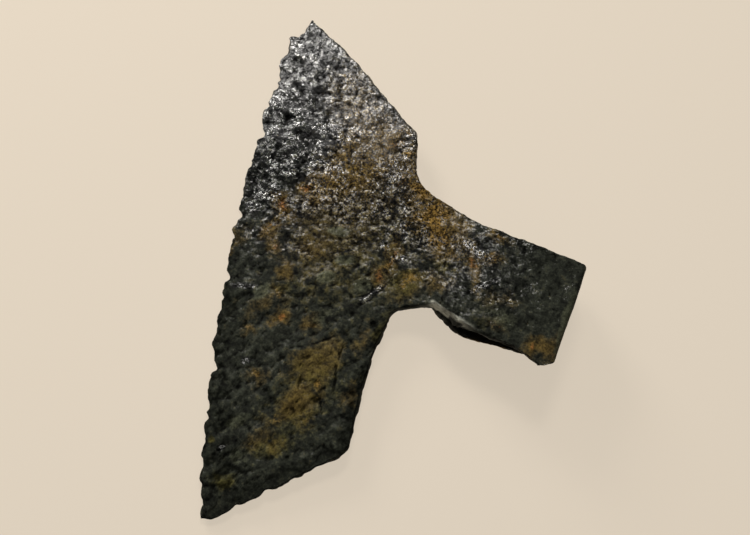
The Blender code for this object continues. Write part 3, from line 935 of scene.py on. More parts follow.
@dataclass(frozen=True)
class Relief:
    """What corrosion did to the surface: swelling, flaking, pits, cracks and hollows. Heights in mm.

    Attributes:
        swell: Height of the broad unevenness.
        mound: Height of the middling unevenness.
        flake: Height of one flake.
        knob: Height of the knobs of crust.
        pit: Depth of the larger pits.
        speck: Depth of the small pits.
        grain: Height of the finest grain in the mesh.
        lump: Height of the lower blade's rounded lumps over the creases between them.
        dent: Depth of the long slanting dents of the lower blade.
        dent_turn: How far they are turned from the x axis, in degrees.
        bevel: How far the near face falls off towards the beard's edges.
        thin_share: How much of the half thickness a pit may take.
        highest: How far the near and the far face may rise.
        squeeze: How much shorter the patterns are through the head's thickness.
        drift: How far the winding patterns are pushed about.
        hollows: The near face's hollows.
        craters: Its round pits, each with a raised ring.
        ridges: Its narrow ridges.
        cracks: Its cracks.
        plates: Its raised flat plates.
    """

    swell: float = 0.42
    mound: float = 0.50
    flake: float = 0.55
    knob: float = 0.85
    pit: float = 0.32
    speck: float = 0.24
    grain: float = 0.20
    lump: float = 0.75
    dent: float = 0.55
    dent_turn: float = 50.0
    bevel: float = 1.1
    thin_share: float = 0.55
    highest: Pair = (0.9, 0.55)
    squeeze: Triple = (1.0, 1.0, 2.5)
    drift: float = 2.6
    swells: Lumps = Lumps(24.0, 11)
    mounds: Lumps = Lumps(9.0, 12)
    flakes: Lumps = Lumps(10.5, 21, layers=3, stretch=(1.25, 0.85, 1.0))
    lumps: Lumps = Lumps(7.5, 17)
    dents: Lumps = Lumps(6.5, 15, layers=3, stretch=(2.0, 0.8, 1.0))
    grains: Lumps = Lumps(2.3, 51)
    large_knobs: Knobs = Knobs(3.6, 25)
    small_knobs: Knobs = Knobs(2.1, 26)
    pits: Pits = Pits(6.4, 2.9, 0.4, 31)
    specks: Pits = Pits(2.7, 1.5, 0.5, 41)
    hollows: tuple[Spot, ...] = spots(
        (-129.8, -90.8, 12, 4.6, 51, 0.9), (-123, -109.8, 13, 4, 45, 0.9), (-157.2, 67.5, 8, 6, -30, 0.9),
        (-148, 65.5, 9, 4, -40, 0.8), (-158.6, 56.5, 10, 4, -13, 0.9), (-147, 57, 11, 5.5, -12, 0.9),
        (-136.7, 65, 9, 4, -20, 0.7), (-136.3, 44.3, 14, 6, -8, 0.9), (-151.6, 35.2, 10, 5, -4, 0.8),
        (-144.5, 30.5, 12, 6, 5, 0.8), (-153.9, 17.7, 12, 5, -47, 0.8), (-143, 12, 9, 5, 30, 0.6),
        (-128, 57, 10, 5, 20, 0.5), (-118, 70, 9, 3.6, -40, 0.6), (-95, 54, 12, 9, 70, 0.7),
        (-148, -4, 12, 5, 20, 0.6), (-142, -38, 18, 6, 62, 0.7), (-136, -57, 13, 5, 40, 0.6),
        (-131, -76, 12, 5, 55, 0.6), (-112, -100, 16, 5, 25, 0.5), (-88, 24, 12, 9, -40, 0.6),
        (-114, -10.5, 22, 8, 30, 0.45), (-100, 6, 16, 8, -30, 0.5), (-126, 6, 14, 6, 20, 0.5),
        (-62, 2, 16, 5, -20, 0.6), (-25, 8, 14, 7, 10, 0.4),
    )
    craters: tuple[Spot, ...] = spots(
        (-136.5, 56.4, 8, 7, 0, 0.7), (-147, 48.5, 9, 7.5, 20, 0.6), (-140.5, 72.6, 6.4, 5.6, 0, 0.6),
        (-151.5, 76.5, 7, 6, 0, 0.45), (-127, 68, 7.5, 6.5, 30, 0.45), (-82.8, 13.5, 9.5, 8, -61, 0.55),
        (-105.4, -15.2, 7, 6.4, 0, 0.6), (-97.5, -5, 7.5, 6, 20, 0.45), (-76, -4.5, 9, 5.5, 60, 0.45),
        (-117, -33, 7, 5, 40, 0.4), (-138, -22, 8, 5, 60, 0.4),
    )
    ridges: tuple[Spot, ...] = spots(
        (-126, -115.8, 10.5, 2, 15, 0.7), (-119.8, -111, 9, 1.9, 62, 0.65),
        (-118.4, -104.8, 6, 1.8, 99, 0.5), (-115.6, -114.4, 7.5, 1.8, -30, 0.6),
        (-86.9, -16, 15, 1.9, 52, 0.8), (-133.5, -72, 16, 2.4, 48, 0.35), (-52, 19, 10, 2.2, 38, 0.5),
        (-36, 2.5, 18, 2.2, 28, 0.4),
    )
    cracks: tuple[Spot, ...] = spots(
        (-91.6, -45.6, 8.6, 1.5, -92, 1.1), (-90.6, -55.9, 15, 1.5, -79, 1.1),
        (-104.8, -62.5, 6, 1.6, -80, 1.1), (-111, -48.9, 11, 1.3, 26, 0.55),
        (-101, -42.6, 15, 1.3, 37, 0.6), (-92.6, -70, 12, 1.4, -72, 0.5),
    )
    plates: tuple[Spot, ...] = spots(
        (-104, -58, 34, 22, 62, 0.55), (-127, -28, 17, 9, 30, 0.35), (-110, -24, 14, 9, 20, 0.35),
        (-102.8, -4.7, 11, 6.5, 20, 0.45), (-108.3, -15.1, 10, 6.5, 25, 0.45),
        (-109.8, 6.6, 13, 6, 12, 0.45), (-92, -14, 10, 7, 40, 0.4),
    )

    def broad(self, place: Array, rough: Array) -> Array:
        """Lumps, flakes (stepped lumps) and the near face's named marks: how far they move points outwards.

        Args:
            place: Points of the smooth form, in mm.
            rough: How strongly the surface flaked there, from 0 to 1.

        Returns:
            Heights in mm.
        """
        apart = place * np.array(self.squeeze)
        drifted = self._drifted(apart)
        height = self.swell * self.swells(apart) + self.mound * (0.4 + 0.6 * rough) * self.mounds(apart)
        flaked = terraces(self.flakes(drifted), steps=2.6, sharpness=0.3)
        height += self.flake * (0.35 + 0.65 * rough) * flaked
        lower_blade = between(20, -45, place[:, 1])
        creased = np.abs(self.lumps(drifted)) - 0.3
        height += lower_blade * (self.dent * self.dents(self._along_dents(apart)) + self.lump * creased)
        near = between(-0.2, 0.5, place[:, 2])
        return height + near * (self._marks(place) - self.bevel * beard_border(place))

    def _along_dents(self, place: Array) -> Array:
        """The points with x turned to run along the slanting dents."""
        turn = math.radians(self.dent_turn)
        x, y, z = place.T
        along, across = x * math.cos(turn) + y * math.sin(turn), -x * math.sin(turn) + y * math.cos(turn)
        return np.stack([along, across, z], 1)

    def fine(self, place: Array, rough: Array, crusted: Array) -> Array:
        """Knobs, pits and grain: how far they move each point outwards, each about its own mean.

        Args:
            place: Points of the smooth form, in mm.
            rough: How strongly the surface pitted there, from 0 to 1.
            crusted: How thick the knobby crust is there, from 0 to 1.

        Returns:
            Heights in mm, about a mean of 0.
        """
        apart = place * np.array(self.squeeze)
        drifted = self._drifted(apart)
        height = self.knob * crusted * (self.large_knobs(drifted) - 0.7)
        height += 0.5 * self.knob * (0.25 + 0.75 * rough) * (self.small_knobs(apart) - 0.7)
        height -= self.pit * rough * (self.pits(drifted) - 0.08)
        height -= self.speck * (0.45 + 0.55 * rough) * (self.specks(apart) - 0.1)
        return height + self.grain * (0.2 + 0.8 * rough) * self.grains(apart)

    def held(self, place: Array, height: Array) -> Array:
        """The same heights, held back where the blade is thin, on the far face and on the cheeks.

        Args:
            place: Points of the smooth form, in mm.
            height: The relief's heights.

        Returns:
            Heights in mm.
        """
        half = np.abs(place[:, 2])
        highest = np.where(place[:, 2] < 0, self.highest[1], self.highest[0]) - 0.3 * between(9, 13, half)
        return np.clip(height, -self.thin_share * half - 0.12, highest)

    def _drifted(self, place: Array) -> Array:
        """Points pushed about by lumps, so that what is drawn over them winds."""
        return place + self.drift * np.stack([Lumps(15.0, 61 + k)(place) for k in range(3)], 1)

    def _marks(self, place: Array) -> Array:
        """The near face's own hollows, ringed craters, ridges, cracks and plates."""
        push = wander(place, 6.0, 81)
        wandered = place + 0.8 * push
        marks = -spread(self.hollows, wandered) + spread(self.ridges, wandered)
        for crater in self.craters:
            far = np.hypot(*crater.local(wandered))
            bowl, ring = between(1.0, 0.4, far), np.exp(-(((far - 1.05) / 0.16) ** 2))
            marks += crater.strength * (0.5 * ring - 0.7 * bowl)
        marks -= spread(self.cracks, place + 0.4 * push)
        for plate in self.plates:
            along, across = plate.local(wandered)
            far = (np.abs(along) ** 4 + np.abs(across) ** 4) ** 0.25
            marks += plate.strength * between(1.06, 0.92, far)
        return marks


@dataclass(frozen=True)
class Weathering:
    """Where each rust colour, the wax's gloss, bare worn metal and painted shade lie, as one number per
    vertex.

    Attributes:
        ochre: Powdery yellow rust.
        orange: Fresh orange rust.
        brown: Thin brown rust, which also lies round the ochre and the orange.
        olive: Olive-brown crust.
        slate: Smooth slate-grey flakes without wax.
        glints: Places with more wax, which glint.
        dull: Dark places, with less gloss and wax.
    """

    ochre: tuple[Spot, ...] = spots(
        (-80, 36.5, 26, 8, -46, 1), (-70.5, 27, 26, 14, -45, 1), (-66, 19, 18, 11, -52, 0.8),
        (-88, 47, 16, 5, -68, 0.8), (-76, 26, 34, 22, -46, 0.45), (-56, 12, 16, 10, -40, 0.35),
        (-72.8, -6, 12, 9, 60, 0.7), (-84.5, -2, 9, 5, 80, 0.5), (-95.6, -61.4, 12, 4.5, -84, 0.65),
        (-97.5, -79.6, 7, 5, 37, 0.6), (-122.9, -65.9, 6.5, 5.5, 39, 0.6), (-125.1, -28.8, 8, 6, -37, 0.5),
        (-96, 60, 5, 3.5, 42, 0.7), (-42, 24.5, 9, 3, -5, 0.6), (-41, 14.8, 9, 3.4, 20, 0.5),
        (-1, -11.6, 5, 9, 0, 0.6), (-110, -82, 12, 6, 40, 0.35),
    )
    orange: tuple[Spot, ...] = spots(
        (-129.2, 21.9, 6, 5, 50, 1), (-136, 10, 9, 4.6, -35, 1), (-138.8, -0.7, 8, 5, 67, 1),
        (-135.8, -7.4, 9, 4, -63, 0.8), (-153, -9.7, 6, 8, -21, 0.6), (-156, -18, 4, 4, 0, 0.9),
        (-126.3, -17.5, 8, 5, -55, 0.8), (-121.2, -37.9, 4.6, 4.2, 37, 1), (-124.5, -41.5, 4, 3.4, 0, 0.6),
        (-108.5, -36.3, 5, 5.6, -60, 0.75), (-133.3, -48.5, 4, 3.6, 34, 0.6),
        (-106.6, -92.6, 5, 4.2, 48, 0.9), (-83.4, 4.2, 15, 5, -87, 0.8), (-85.5, -7, 9, 5.5, -70, 0.7),
        (-47.6, 9, 16, 4, -70, 0.7), (-11.4, -16.6, 6, 5, 67, 1), (-2, -17, 6, 4, 80, 0.6),
        (-98, 53, 9, 6, 30, 0.5), (-89.5, 38, 10, 6, 60, 0.45), (-31, -12.5, 7, 4, -20, 0.5),
    )
    brown: tuple[Spot, ...] = spots(
        (-108, 18, 110, 64, 72, 0.45), (-118, 62, 64, 34, -50, 0.6), (-110, 42, 62, 34, 66, 1),
        (-93, 44, 44, 24, -62, 0.45), (-122, 25, 34, 22, 70, 0.85), (-118, -4, 26, 16, 20, 0.6),
        (-100.5, -52, 34, 22, 50, 0.70), (-103, -72, 30, 18, 62, 0.7), (-113, -92, 22, 12, 48, 0.45),
        (-84, -36, 22, 10, 80, 0.4), (-82, -62, 16, 9, 85, 0.5), (-132, -35, 24, 12, 60, 0.4),
        (-62, -2, 22, 14, 0, 0.5), (-34, -2, 26, 12, 10, 0.35), (-7, -16, 16, 11, 30, 0.7),
    )
    olive: tuple[Spot, ...] = spots(
        (-100, -2, 90, 70, 60, 0.42), (-100, -66, 74, 40, 66, 0.42), (-101, -55, 38, 26, 60, 0.56),
        (-100, -80, 32, 20, 60, 0.52), (-75, -6, 24, 18, 40, 0.8), (-122, -114, 16, 9, 25, 0.8),
        (-107, -93, 30, 14, 40, 0.6), (-78, -30, 24, 8, 80, 0.6), (-98, -3, 14, 8, 30, 0.6),
        (-122, -24, 20, 12, 40, 0.5), (-112, 40, 50, 30, 66, 0.35), (-133, -99.5, 5, 6, -49, 0.9),
        (-60, 6, 14, 10, 0, 0.6), (-38, -14, 16, 6, -15, 0.5),
    )
    slate: tuple[Spot, ...] = spots(
        (-102.8, -4.7, 12, 7, 20, 1), (-108.3, -15.1, 11, 7, 25, 1), (-109.8, 6.6, 14, 6.5, 12, 0.9),
        (-92, -14, 11, 8, 40, 0.8), (-134, -30, 16, 9, 60, 0.7), (-104, -32, 20, 10, 40, 0.6),
        (-125, -88, 20, 10, 50, 0.7), (-119, -102, 14, 9, 40, 0.7), (-30, -9, 30, 14, -8, 0.6),
        (-1.5, -2, 6, 40, 0, 1),
    )
    glints: tuple[Spot, ...] = spots(
        (-86.7, -15.9, 15, 3, 55, 1.3), (-138.8, 25.7, 12, 3.6, 10, 0.8), (-144.1, 14.3, 11, 8, 40, 0.7),
        (-149.9, 4.7, 6, 5, 0, 0.7), (-141.4, -30.1, 13, 3, 15, 0.7), (-88.7, 7.2, 5, 4, 0, 0.8),
        (-80.5, 3.7, 7, 4, 30, 0.8), (-85.3, 28.5, 7, 6, 0, 0.8), (-53, 16.6, 26, 6, -8, 0.6),
        (-41.7, 1.2, 15, 3, 39, 0.8), (-93, 46, 10, 8, 60, 0.6), (-130, -61, 5, 4, 0, 0.8),
        (-128, -101, 5, 3, 60, 0.8), (-128, 57, 20, 13, -40, 0.40),
    )
    dull: tuple[Spot, ...] = spots(
        (-147.2, 50.7, 17, 10, -10, 0.8), (-139.4, 61.4, 9, 7, -10, 0.8), (-150.5, 32.3, 14, 10, 20, 0.7),
        (-133, 33, 16, 8, -15, 0.5), (-91.3, 48.1, 17, 12, 70, 0.7), (-57.3, 28.5, 26, 9, -5, 0.9),
        (-52, 9, 22, 9, -30, 0.6), (-104, -12, 22, 14, 30, 0.6),
    )

    def rough(self, place: Array) -> Array:
        """How strongly the surface flaked: most on the upper blade and the neck, least at the poll.

        Args:
            place: Points of the smooth form, in mm.

        Returns:
            Numbers from 0 to 1.
        """
        x, y = place[:, 0], place[:, 1]
        up = 0.62 + 0.38 * between(-55, 15, y + 6 * Lumps(30.0, 91)(place))
        poll = between(-2, -26, x + 3 * Lumps(14.0, 92)(place))
        return up * (0.25 + 0.75 * poll)

    def crusted(self, place: Array) -> Array:
        """How thick the knobby crust is: most on the upper left of the blade, and in patches elsewhere.

        Args:
            place: Points of the smooth form, in mm.

        Returns:
            Numbers from 0 to 1.
        """
        x, y = place[:, 0], place[:, 1]
        upper = between(-5, 30, y) * between(-100, -122, x + 8 * Lumps(20.0, 95)(place) - 0.25 * (y - 40))
        patches = between(0.1, 0.7, Lumps(16.0, 96)(place)) * between(-40, 10, y)
        return np.maximum(upper, 0.7 * patches)

    def gloss(self, place: Array) -> Array:
        """How much the iron itself shines: high at the blade's upper tip, fading towards the neck.

        Args:
            place: Points of the smooth form, in mm.

        Returns:
            Numbers from 0 to 1.
        """
        level = place[:, 1] + 9 * Lumps(20.0, 93)(place) - 0.6 * np.maximum(place[:, 0] + 112, 0)
        patches = 1 + 0.5 * Lumps(8.0, 98)(place)
        return np.clip(between(10, 86, level) * patches, 0, 1)

    def wax(self, place: Array) -> Array:
        """How glossy the wax is: high on the upper blade and the neck, and low below and at the poll.

        Args:
            place: Points of the smooth form, in mm.

        Returns:
            Numbers from 0 to 1.
        """
        x, y = place[:, 0], place[:, 1]
        level = y - 0.10 * (x + 100) + 13 * Lumps(15.0, 97)(place)
        from_poll = between(-12, -34, x + 5 * Lumps(12.0, 94)(place))
        on_blade = 0.02 + 0.98 * between(-40, 66, level) ** 1.5 - 0.3 * between(74, 100, y)
        on_socket = 0.05 + 0.22 * from_poll * between(-24, 4, level + 4)
        socket_share = between(-74, -58, x)
        patches = 1 + 0.45 * Lumps(8.0, 98)(place)
        return np.clip((on_blade * (1 - socket_share) + on_socket * socket_share) * patches, 0, 1)

    def paint(self, skin: Skin, socket: Socket, height: Array) -> None:
        """Works out every mask and keeps it on the skin.

        Args:
            skin: The skin, still on the smooth form.
            socket: The socket, whose eye's wall is painted dark as shade.
            height: The relief's heights, from which creases get painted shade and crests are made paler.
        """
        place = skin.place
        near = between(-0.2, 0.8, place[:, 2])
        push = wander(place, 5.0, 101, layers=3)
        wandered = place + 2.2 * push
        blotch = Lumps(7.0, 103, layers=3)(place)
        far_rust = between(0.25, 0.9, Lumps(26.0, 104, layers=3)(place)) * (1 - near)
        speckled = between(-0.55, 0.35, blotch)
        halo = [spot.grown(2.2, 0.75 * spot.strength) for spot in self.orange + self.ochre]
        brown = np.maximum(spread(self.brown, wandered), spread(halo, wandered))
        far_brown = 0.8 * between(-0.2, 0.7, far_rust + blotch * 0.3) * (1 - near)
        far_olive = 0.4 * (1 - near) * between(0, 0.8, -blotch)
        dull = near * spread(self.dull, wandered)
        wax = self.wax(place) * (1 - 0.45 * dull) + near * spread(self.glints, place + 0.5 * push)
        # Painted shade: the relief's creases are darkened by how far each vertex lies below its surroundings.
        sunk = skin.sunk(height, 12) + 1.5 * skin.sunk(height, 1)
        log.info("relief: depth below its surroundings, %.2f mm on the whole", sunk.std())
        # Painted shade: dark bands along the thin lower cutting edge and the beard's edges, added to the
        # painted shade of the creases.
        front = between(1.45, 1.10, place[:, 2] + 0.12 * blotch) * between(-12, -42, place[:, 1])
        border = near * np.maximum(0.55 * beard_border(place), 0.4 * front)
        for name, values in {
            "ochre": (near * spread(self.ochre, wandered) + 0.5 * far_rust) * speckled,
            "orange": (near * spread(self.orange, wandered) + 0.5 * far_rust * (blotch > 0.3)) * speckled,
            "brown": near * brown + far_brown,
            "slate": near * spread(self.slate, place + push),
            "olive": near * spread(self.olive, wandered) + far_olive,
            "gloss": self.gloss(place) * (0.35 + 0.65 * near) * (1 - dull),
            "wax": np.minimum(wax, 1) * (0.45 + 0.55 * near),
            "crease_shade": np.clip(between(0.02, 0.50, sunk) + border, 0, 1),
            "crest": between(-0.05, -0.50, sunk),
            "inside": self._inside(place, socket),
            "worn": self._worn(place),
        }.items():
            skin.paint(name, values)

    @staticmethod
    def _inside(place: Array, socket: Socket) -> Array:
        """1 on the wall of the eye, which is painted near black as shade, and 0 outside."""
        x, y, z = place.T
        inner = (np.abs(z) < socket.eye_width / 2 + 0.2) & (x < -socket.poll_wall + 0.8)
        inner &= x > -socket.poll_wall - socket.eye_length - 0.2
        below_rims = between(27.4, 25.5, y) * between(-22.0, -17.5, y)
        return inner * below_rims

    @staticmethod
    def _worn(place: Array) -> Array:
        """How bare the lower rim of the near cheek is worn, from the notch towards the poll."""
        x, y, z = place.T
        rim_x, rim_drop = (-60, -52, -34, -20), (-10.8, -14.4, -18.2, -20.2)
        rim_y = np.interp(x, rim_x, rim_drop)
        band = between(1.2, -0.4, y - rim_y) * between(-62, -59, x) * between(-36, -55, x)
        return band * between(-1.0, 2.0, z)


# Placing, finish and studio


@dataclass(frozen=True)
class HeadPose:
    """How the head lies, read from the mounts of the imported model.

    Attributes:
        turn: The rotation from the head's own frame to the row frame.
        shift: The translation, in metres.
    """

    turn: Array
    shift: Array

    @classmethod
    def from_record(cls, record: FramePart, socket: Socket) -> "HeadPose":
        """Lays the poll's face and the rim of the eye on the two mounts that name them.

        Args:
            record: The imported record.
            socket: The socket, whose poll leans.

        Returns:
            The pose.
        """
        mounts = {mount["name"]: mount for mount in record["mounts"]}
        own_poll = np.array([1.0, -socket.poll_lean, 0.0]) / math.hypot(1, socket.poll_lean)
        own = np.stack([own_poll, np.cross([0, 0, 1.0], own_poll), [0, 0, 1.0]], 1)
        poll = np.array(mounts["poll_face"]["axis"])
        poll = poll / np.linalg.norm(poll)
        out = np.cross(poll, mounts["eye_top_rim"]["axis"])
        out = out / np.linalg.norm(out)
        turn = np.stack([poll, np.cross(out, poll), out], 1) @ own.T
        poll_height = 5.0  # where on the poll, above the socket's middle, the record's mount lies
        anchor = np.array([socket.poll_lean * poll_height, poll_height, 0.0]) * MM
        return cls(turn, np.array(mounts["poll_face"]["pos_m"]) - turn @ anchor)

    def __call__(self, place: Array) -> Array:
        """Points of the head, in mm, laid down in the row frame, in metres."""
        return place * MM @ self.turn.T + self.shift

    def way(self, direction: Sequence[float]) -> Array:
        """A direction of the head's own frame, turned into the row frame."""
        return self.turn @ np.array(direction, float)


class Nodes:
    """Adds and joins the shader nodes of one material."""

    def __init__(self, material: bpy.types.Material) -> None:
        """Takes over the material's node tree."""
        self.tree = material.node_tree

    def add(
        self, kind: str, settings: dict[str, object] | None = None, **inputs: object
    ) -> bpy.types.ShaderNode:
        """Adds a node.

        Args:
            kind: The node's type, without its ShaderNode prefix.
            settings: Values of the node's own properties.
            inputs: Values or sockets for inputs, by name with underscores for spaces.

        Returns:
            The node.
        """
        node = self.tree.nodes.new("ShaderNode" + kind)
        for name, value in (settings or {}).items():
            setattr(node, name, value)
        for name, value in inputs.items():
            self.feed(node, name.replace("_", " "), value)
        return node

    def feed(self, node: bpy.types.ShaderNode, name: str | int, value: object) -> None:
        """Joins a socket to a node's input, or sets the input's value."""
        socket = node.inputs[name]
        if isinstance(value, bpy.types.NodeSocket):
            self.tree.links.new(value, socket)
        else:
            socket.default_value = value

    def number(self, name: str) -> bpy.types.NodeSocket:
        """One of the numbers kept on the skin."""
        return self.add("Attribute", {"attribute_name": name, "attribute_type": "GEOMETRY"}).outputs["Fac"]

    def maths(
        self, operation: str, one: Socketed, other: Socketed = 0.0, clamp: bool = False
    ) -> bpy.types.NodeSocket:
        """A sum, product or other function of two numbers."""
        node = self.add("Math", {"operation": operation, "use_clamp": clamp})
        self.feed(node, 0, one)
        self.feed(node, 1, other)
        return node.outputs[0]

    def weighed(
        self, one: Socketed, other: Socketed, weight: float, own: float = 1.0
    ) -> bpy.types.NodeSocket:
        """The sum of two numbers, each times its weight."""
        first = one if own == 1.0 else self.maths("MULTIPLY", one, own)
        return self.maths("ADD", first, self.maths("MULTIPLY", other, weight))

    def spanned(
        self, value: Socketed, low: float, high: float, to_low: float = 0.0, to_high: float = 1.0
    ) -> bpy.types.NodeSocket:
        """A number carried smoothly from one span to another, and held at its ends."""
        spans = {"From_Min": low, "From_Max": high, "To_Min": to_low, "To_Max": to_high}
        node = self.add("MapRange", {"interpolation_type": "SMOOTHSTEP"}, Value=value, **spans)
        return node.outputs["Result"]

    def between(self, share: Socketed, one: Socketed, other: Socketed) -> bpy.types.NodeSocket:
        """A number between two others."""
        return self.add("Mix", A=one, B=other, Factor=share).outputs["Result"]

    def mixed(self, share: Socketed, one: object, other: object, blend: str = "MIX") -> bpy.types.NodeSocket:
        """A colour between two others."""
        node = self.add("Mix", {"data_type": "RGBA", "blend_type": blend})
        self.feed(node, 0, share)
        self.feed(node, 6, one)
        self.feed(node, 7, other)
        return node.outputs[2]


class Grain(Enum):
    """How the border of a rust breaks up: in broad soft patches, or in small crisp ones."""

    SOFT = "soft"
    CRISP = "crisp"


@dataclass(frozen=True)
class Rust:
    """One colour laid over the iron where its mask and the noise agree.

    Attributes:
        name: The mask's name.
        colour: Its linear RGB.
        grain: How its border breaks up.
        low: Mask and noise together, where it begins.
        high: The same where it is at its fullest.
        most: How much it covers there, from 0 to 1.
        roughness: What it adds to the roughness.
        wax_lost: How much of the wax it keeps off, from 0 to 1.
    """

    name: str
    colour: Triple
    grain: Grain
    low: float
    high: float
    most: float
    roughness: float = 0.0
    wax_lost: float = 0.0


@dataclass(frozen=True)
class CorrodedIron:
    """Near-black forged iron with rust, under a thin coat of wax. Colours are linear RGB.

    Attributes:
        black: The sound oxide skin.
        grey: Its lighter, green-grey patches.
        bare: Metal worn bare at the rim.
        inner: The wall of the eye, painted near black as shade.
        rusts: The rusts, from the lowest layer up.
        shine: Specular level of the iron, from no gloss to full gloss.
        wax_index: Refractive index of the wax, which sets how bright its glints are.
        wax_roughness: Roughness of the wax.
        gloss_roughness: Roughness of the iron under thick wax.
        matt_roughness: Roughness of the iron where the wax is thin.
        inside_roughness: What the wall of the eye adds to the roughness.
        worn_roughness: What bare metal adds to it.
        roughest: The greatest roughness.
        noises: Size in mm and detail of the coarse, medium and fine noise.
        glint_size: Size of the fine facets that glint, in mm.
        glint_depth: How strongly they tilt, from 0 to 1.
    """

    black: Triple = (0.003, 0.0033, 0.0027)
    grey: Triple = (0.029, 0.032, 0.023)
    bare: Triple = (0.50, 0.50, 0.42)
    # painted shade for the wall of the eye
    inner: Triple = (0.004, 0.004, 0.003)
    rusts: tuple[Rust, ...] = (
        Rust("brown", (0.092, 0.060, 0.015), Grain.SOFT, 0.10, 0.95, 0.88, wax_lost=0.4),
        Rust("olive", (0.051, 0.045, 0.013), Grain.SOFT, 0.15, 1.05, 0.88),
        Rust("slate", (0.042, 0.045, 0.028), Grain.SOFT, 0.30, 0.80, 0.80, wax_lost=1.0),
        Rust("ochre", (0.122, 0.074, 0.018), Grain.CRISP, 0.15, 0.90, 0.85, 0.22, 1.0),
        Rust("orange", (0.145, 0.062, 0.018), Grain.CRISP, 0.30, 1.05, 0.80, 0.20, 1.0),
    )
    shine: Pair = (0.05, 0.50)
    wax_index: float = 2.0
    wax_roughness: float = 0.065
    gloss_roughness: float = 0.34
    matt_roughness: float = 0.70
    inside_roughness: float = 0.5
    worn_roughness: float = 0.2
    roughest: float = 0.95
    noises: tuple[Pair, Pair, Pair] = ((4.5, 4.0), (1.9, 3.0), (0.8, 2.0))
    glint_size: float = 1.3
    glint_depth: float = 0.9

    def material(self, name: str) -> bpy.types.Material:
        """Builds the material.

        The specular level also has a value of its own, because the export drops what is joined to it.

        Args:
            name: Its name.

        Returns:
            The material.
        """
        material = bpy.data.materials.new(name)
        material.use_nodes = True
        nodes = Nodes(material)
        shader = material.node_tree.nodes["Principled BSDF"]
        place = nodes.add("TexCoord").outputs["Object"]
        coarse, medium, fine = (self._noise(nodes, place, size, detail) for size, detail in self.noises)
        gloss, wax = nodes.number("gloss"), nodes.number("wax")
        # the painted crease shade also lowers the specular level and the wax in creases and along the thin
        # edges
        open_share = nodes.spanned(nodes.number("crease_shade"), 0.1, 1.0, 1.0, 0.15)
        shine = nodes.spanned(gloss, 0.0, 1.0, *self.shine)
        shader.inputs["Specular IOR Level"].default_value = 0.2
        for socket, value in {
            "Base Color": self._colour(nodes, coarse, medium, fine),
            "Roughness": self._roughness(nodes, gloss, medium, fine),
            "Specular IOR Level": nodes.maths("MULTIPLY", shine, open_share),
            "Normal": self._bumps(nodes, place, wax, self.glint_size, 0.75),
            "Coat Weight": nodes.maths("MULTIPLY", self._wax(nodes, wax, coarse, medium), open_share),
            "Coat Roughness": self.wax_roughness,
            "Coat IOR": self.wax_index,
            "Coat Normal": self._bumps(nodes, place, wax, 0.9 * self.glint_size, 1.0),
        }.items():
            nodes.feed(shader, socket, value)
        return material

    @staticmethod
    def _noise(nodes: Nodes, place: Socketed, size: float, detail: float) -> bpy.types.NodeSocket:
        """Cloudy noise with lumps of a size in mm."""
        node = nodes.add("TexNoise", Vector=place, Scale=1 / (size * MM), Detail=detail, Roughness=0.6)
        return node.outputs["Fac"]

    def _colour(
        self, nodes: Nodes, coarse: Socketed, medium: Socketed, fine: Socketed
    ) -> bpy.types.NodeSocket:
        """Black oxide, greyed in patches, then each rust where its mask and the noise agree.

        The patches are crisper and the freckles stronger where there is wax. Creases and the thin edges are
        darkened as painted shade, and crests are paler.

        Args:
            nodes: The material's nodes.
            coarse: The coarse noise.
            medium: The medium noise.
            fine: The fine noise.

        Returns:
            The colour.
        """
        unflaked = nodes.maths("SUBTRACT", 1.0, nodes.number("slate"), clamp=True)
        waxed = nodes.maths("MULTIPLY", nodes.spanned(nodes.number("wax"), 0.0, 0.5), unflaked)
        cloud = nodes.weighed(coarse, medium, 0.5)
        grey_share = nodes.between(waxed, nodes.spanned(cloud, 0.38, 1.12), nodes.spanned(cloud, 0.62, 1.02))
        colour = nodes.mixed(grey_share, (*self.black, 1), (*self.grey, 1))
        grains = {
            Grain.SOFT: nodes.weighed(coarse, medium, 0.7, own=1.1),
            Grain.CRISP: nodes.weighed(medium, fine, 0.9, own=0.9),
        }
        for rust in self.rusts:
            uneven = nodes.maths("SUBTRACT", grains[rust.grain], 0.9)
            reach = nodes.maths("ADD", nodes.number(rust.name), uneven)
            cover = nodes.spanned(reach, rust.low, rust.high, 0.0, rust.most)
            colour = nodes.mixed(cover, colour, (*rust.colour, 1))
        speckle = nodes.weighed(fine, medium, 0.4, own=0.6)
        weak = nodes.spanned(speckle, 0.36, 0.66, 0.58, 1.30)
        strong = nodes.spanned(speckle, 0.40, 0.62, 0.05, 1.25)
        # painted shade: the colour is darker in creases and along the thin edges
        sunk = nodes.spanned(nodes.number("crease_shade"), 0.0, 1.0, 1.0, 0.28)
        proud = nodes.spanned(nodes.number("crest"), 0.0, 1.0, 1.0, 1.5)
        freckled = nodes.maths("MULTIPLY", nodes.between(waxed, weak, strong), sunk)
        light = self._grey(nodes, nodes.maths("MULTIPLY", freckled, proud))
        colour = nodes.mixed(1.0, colour, light, "MULTIPLY")
        bare = nodes.maths("MULTIPLY", nodes.number("worn"), nodes.spanned(medium, 0.3, 0.6, 0.45, 1.0))
        colour = nodes.mixed(bare, colour, (*self.bare, 1))
        # painted shade: the eye's wall is near black, as if in shadow
        inside = nodes.spanned(nodes.number("inside"), 0, 1, 0, 0.93)
        return nodes.mixed(inside, colour, (*self.inner, 1))

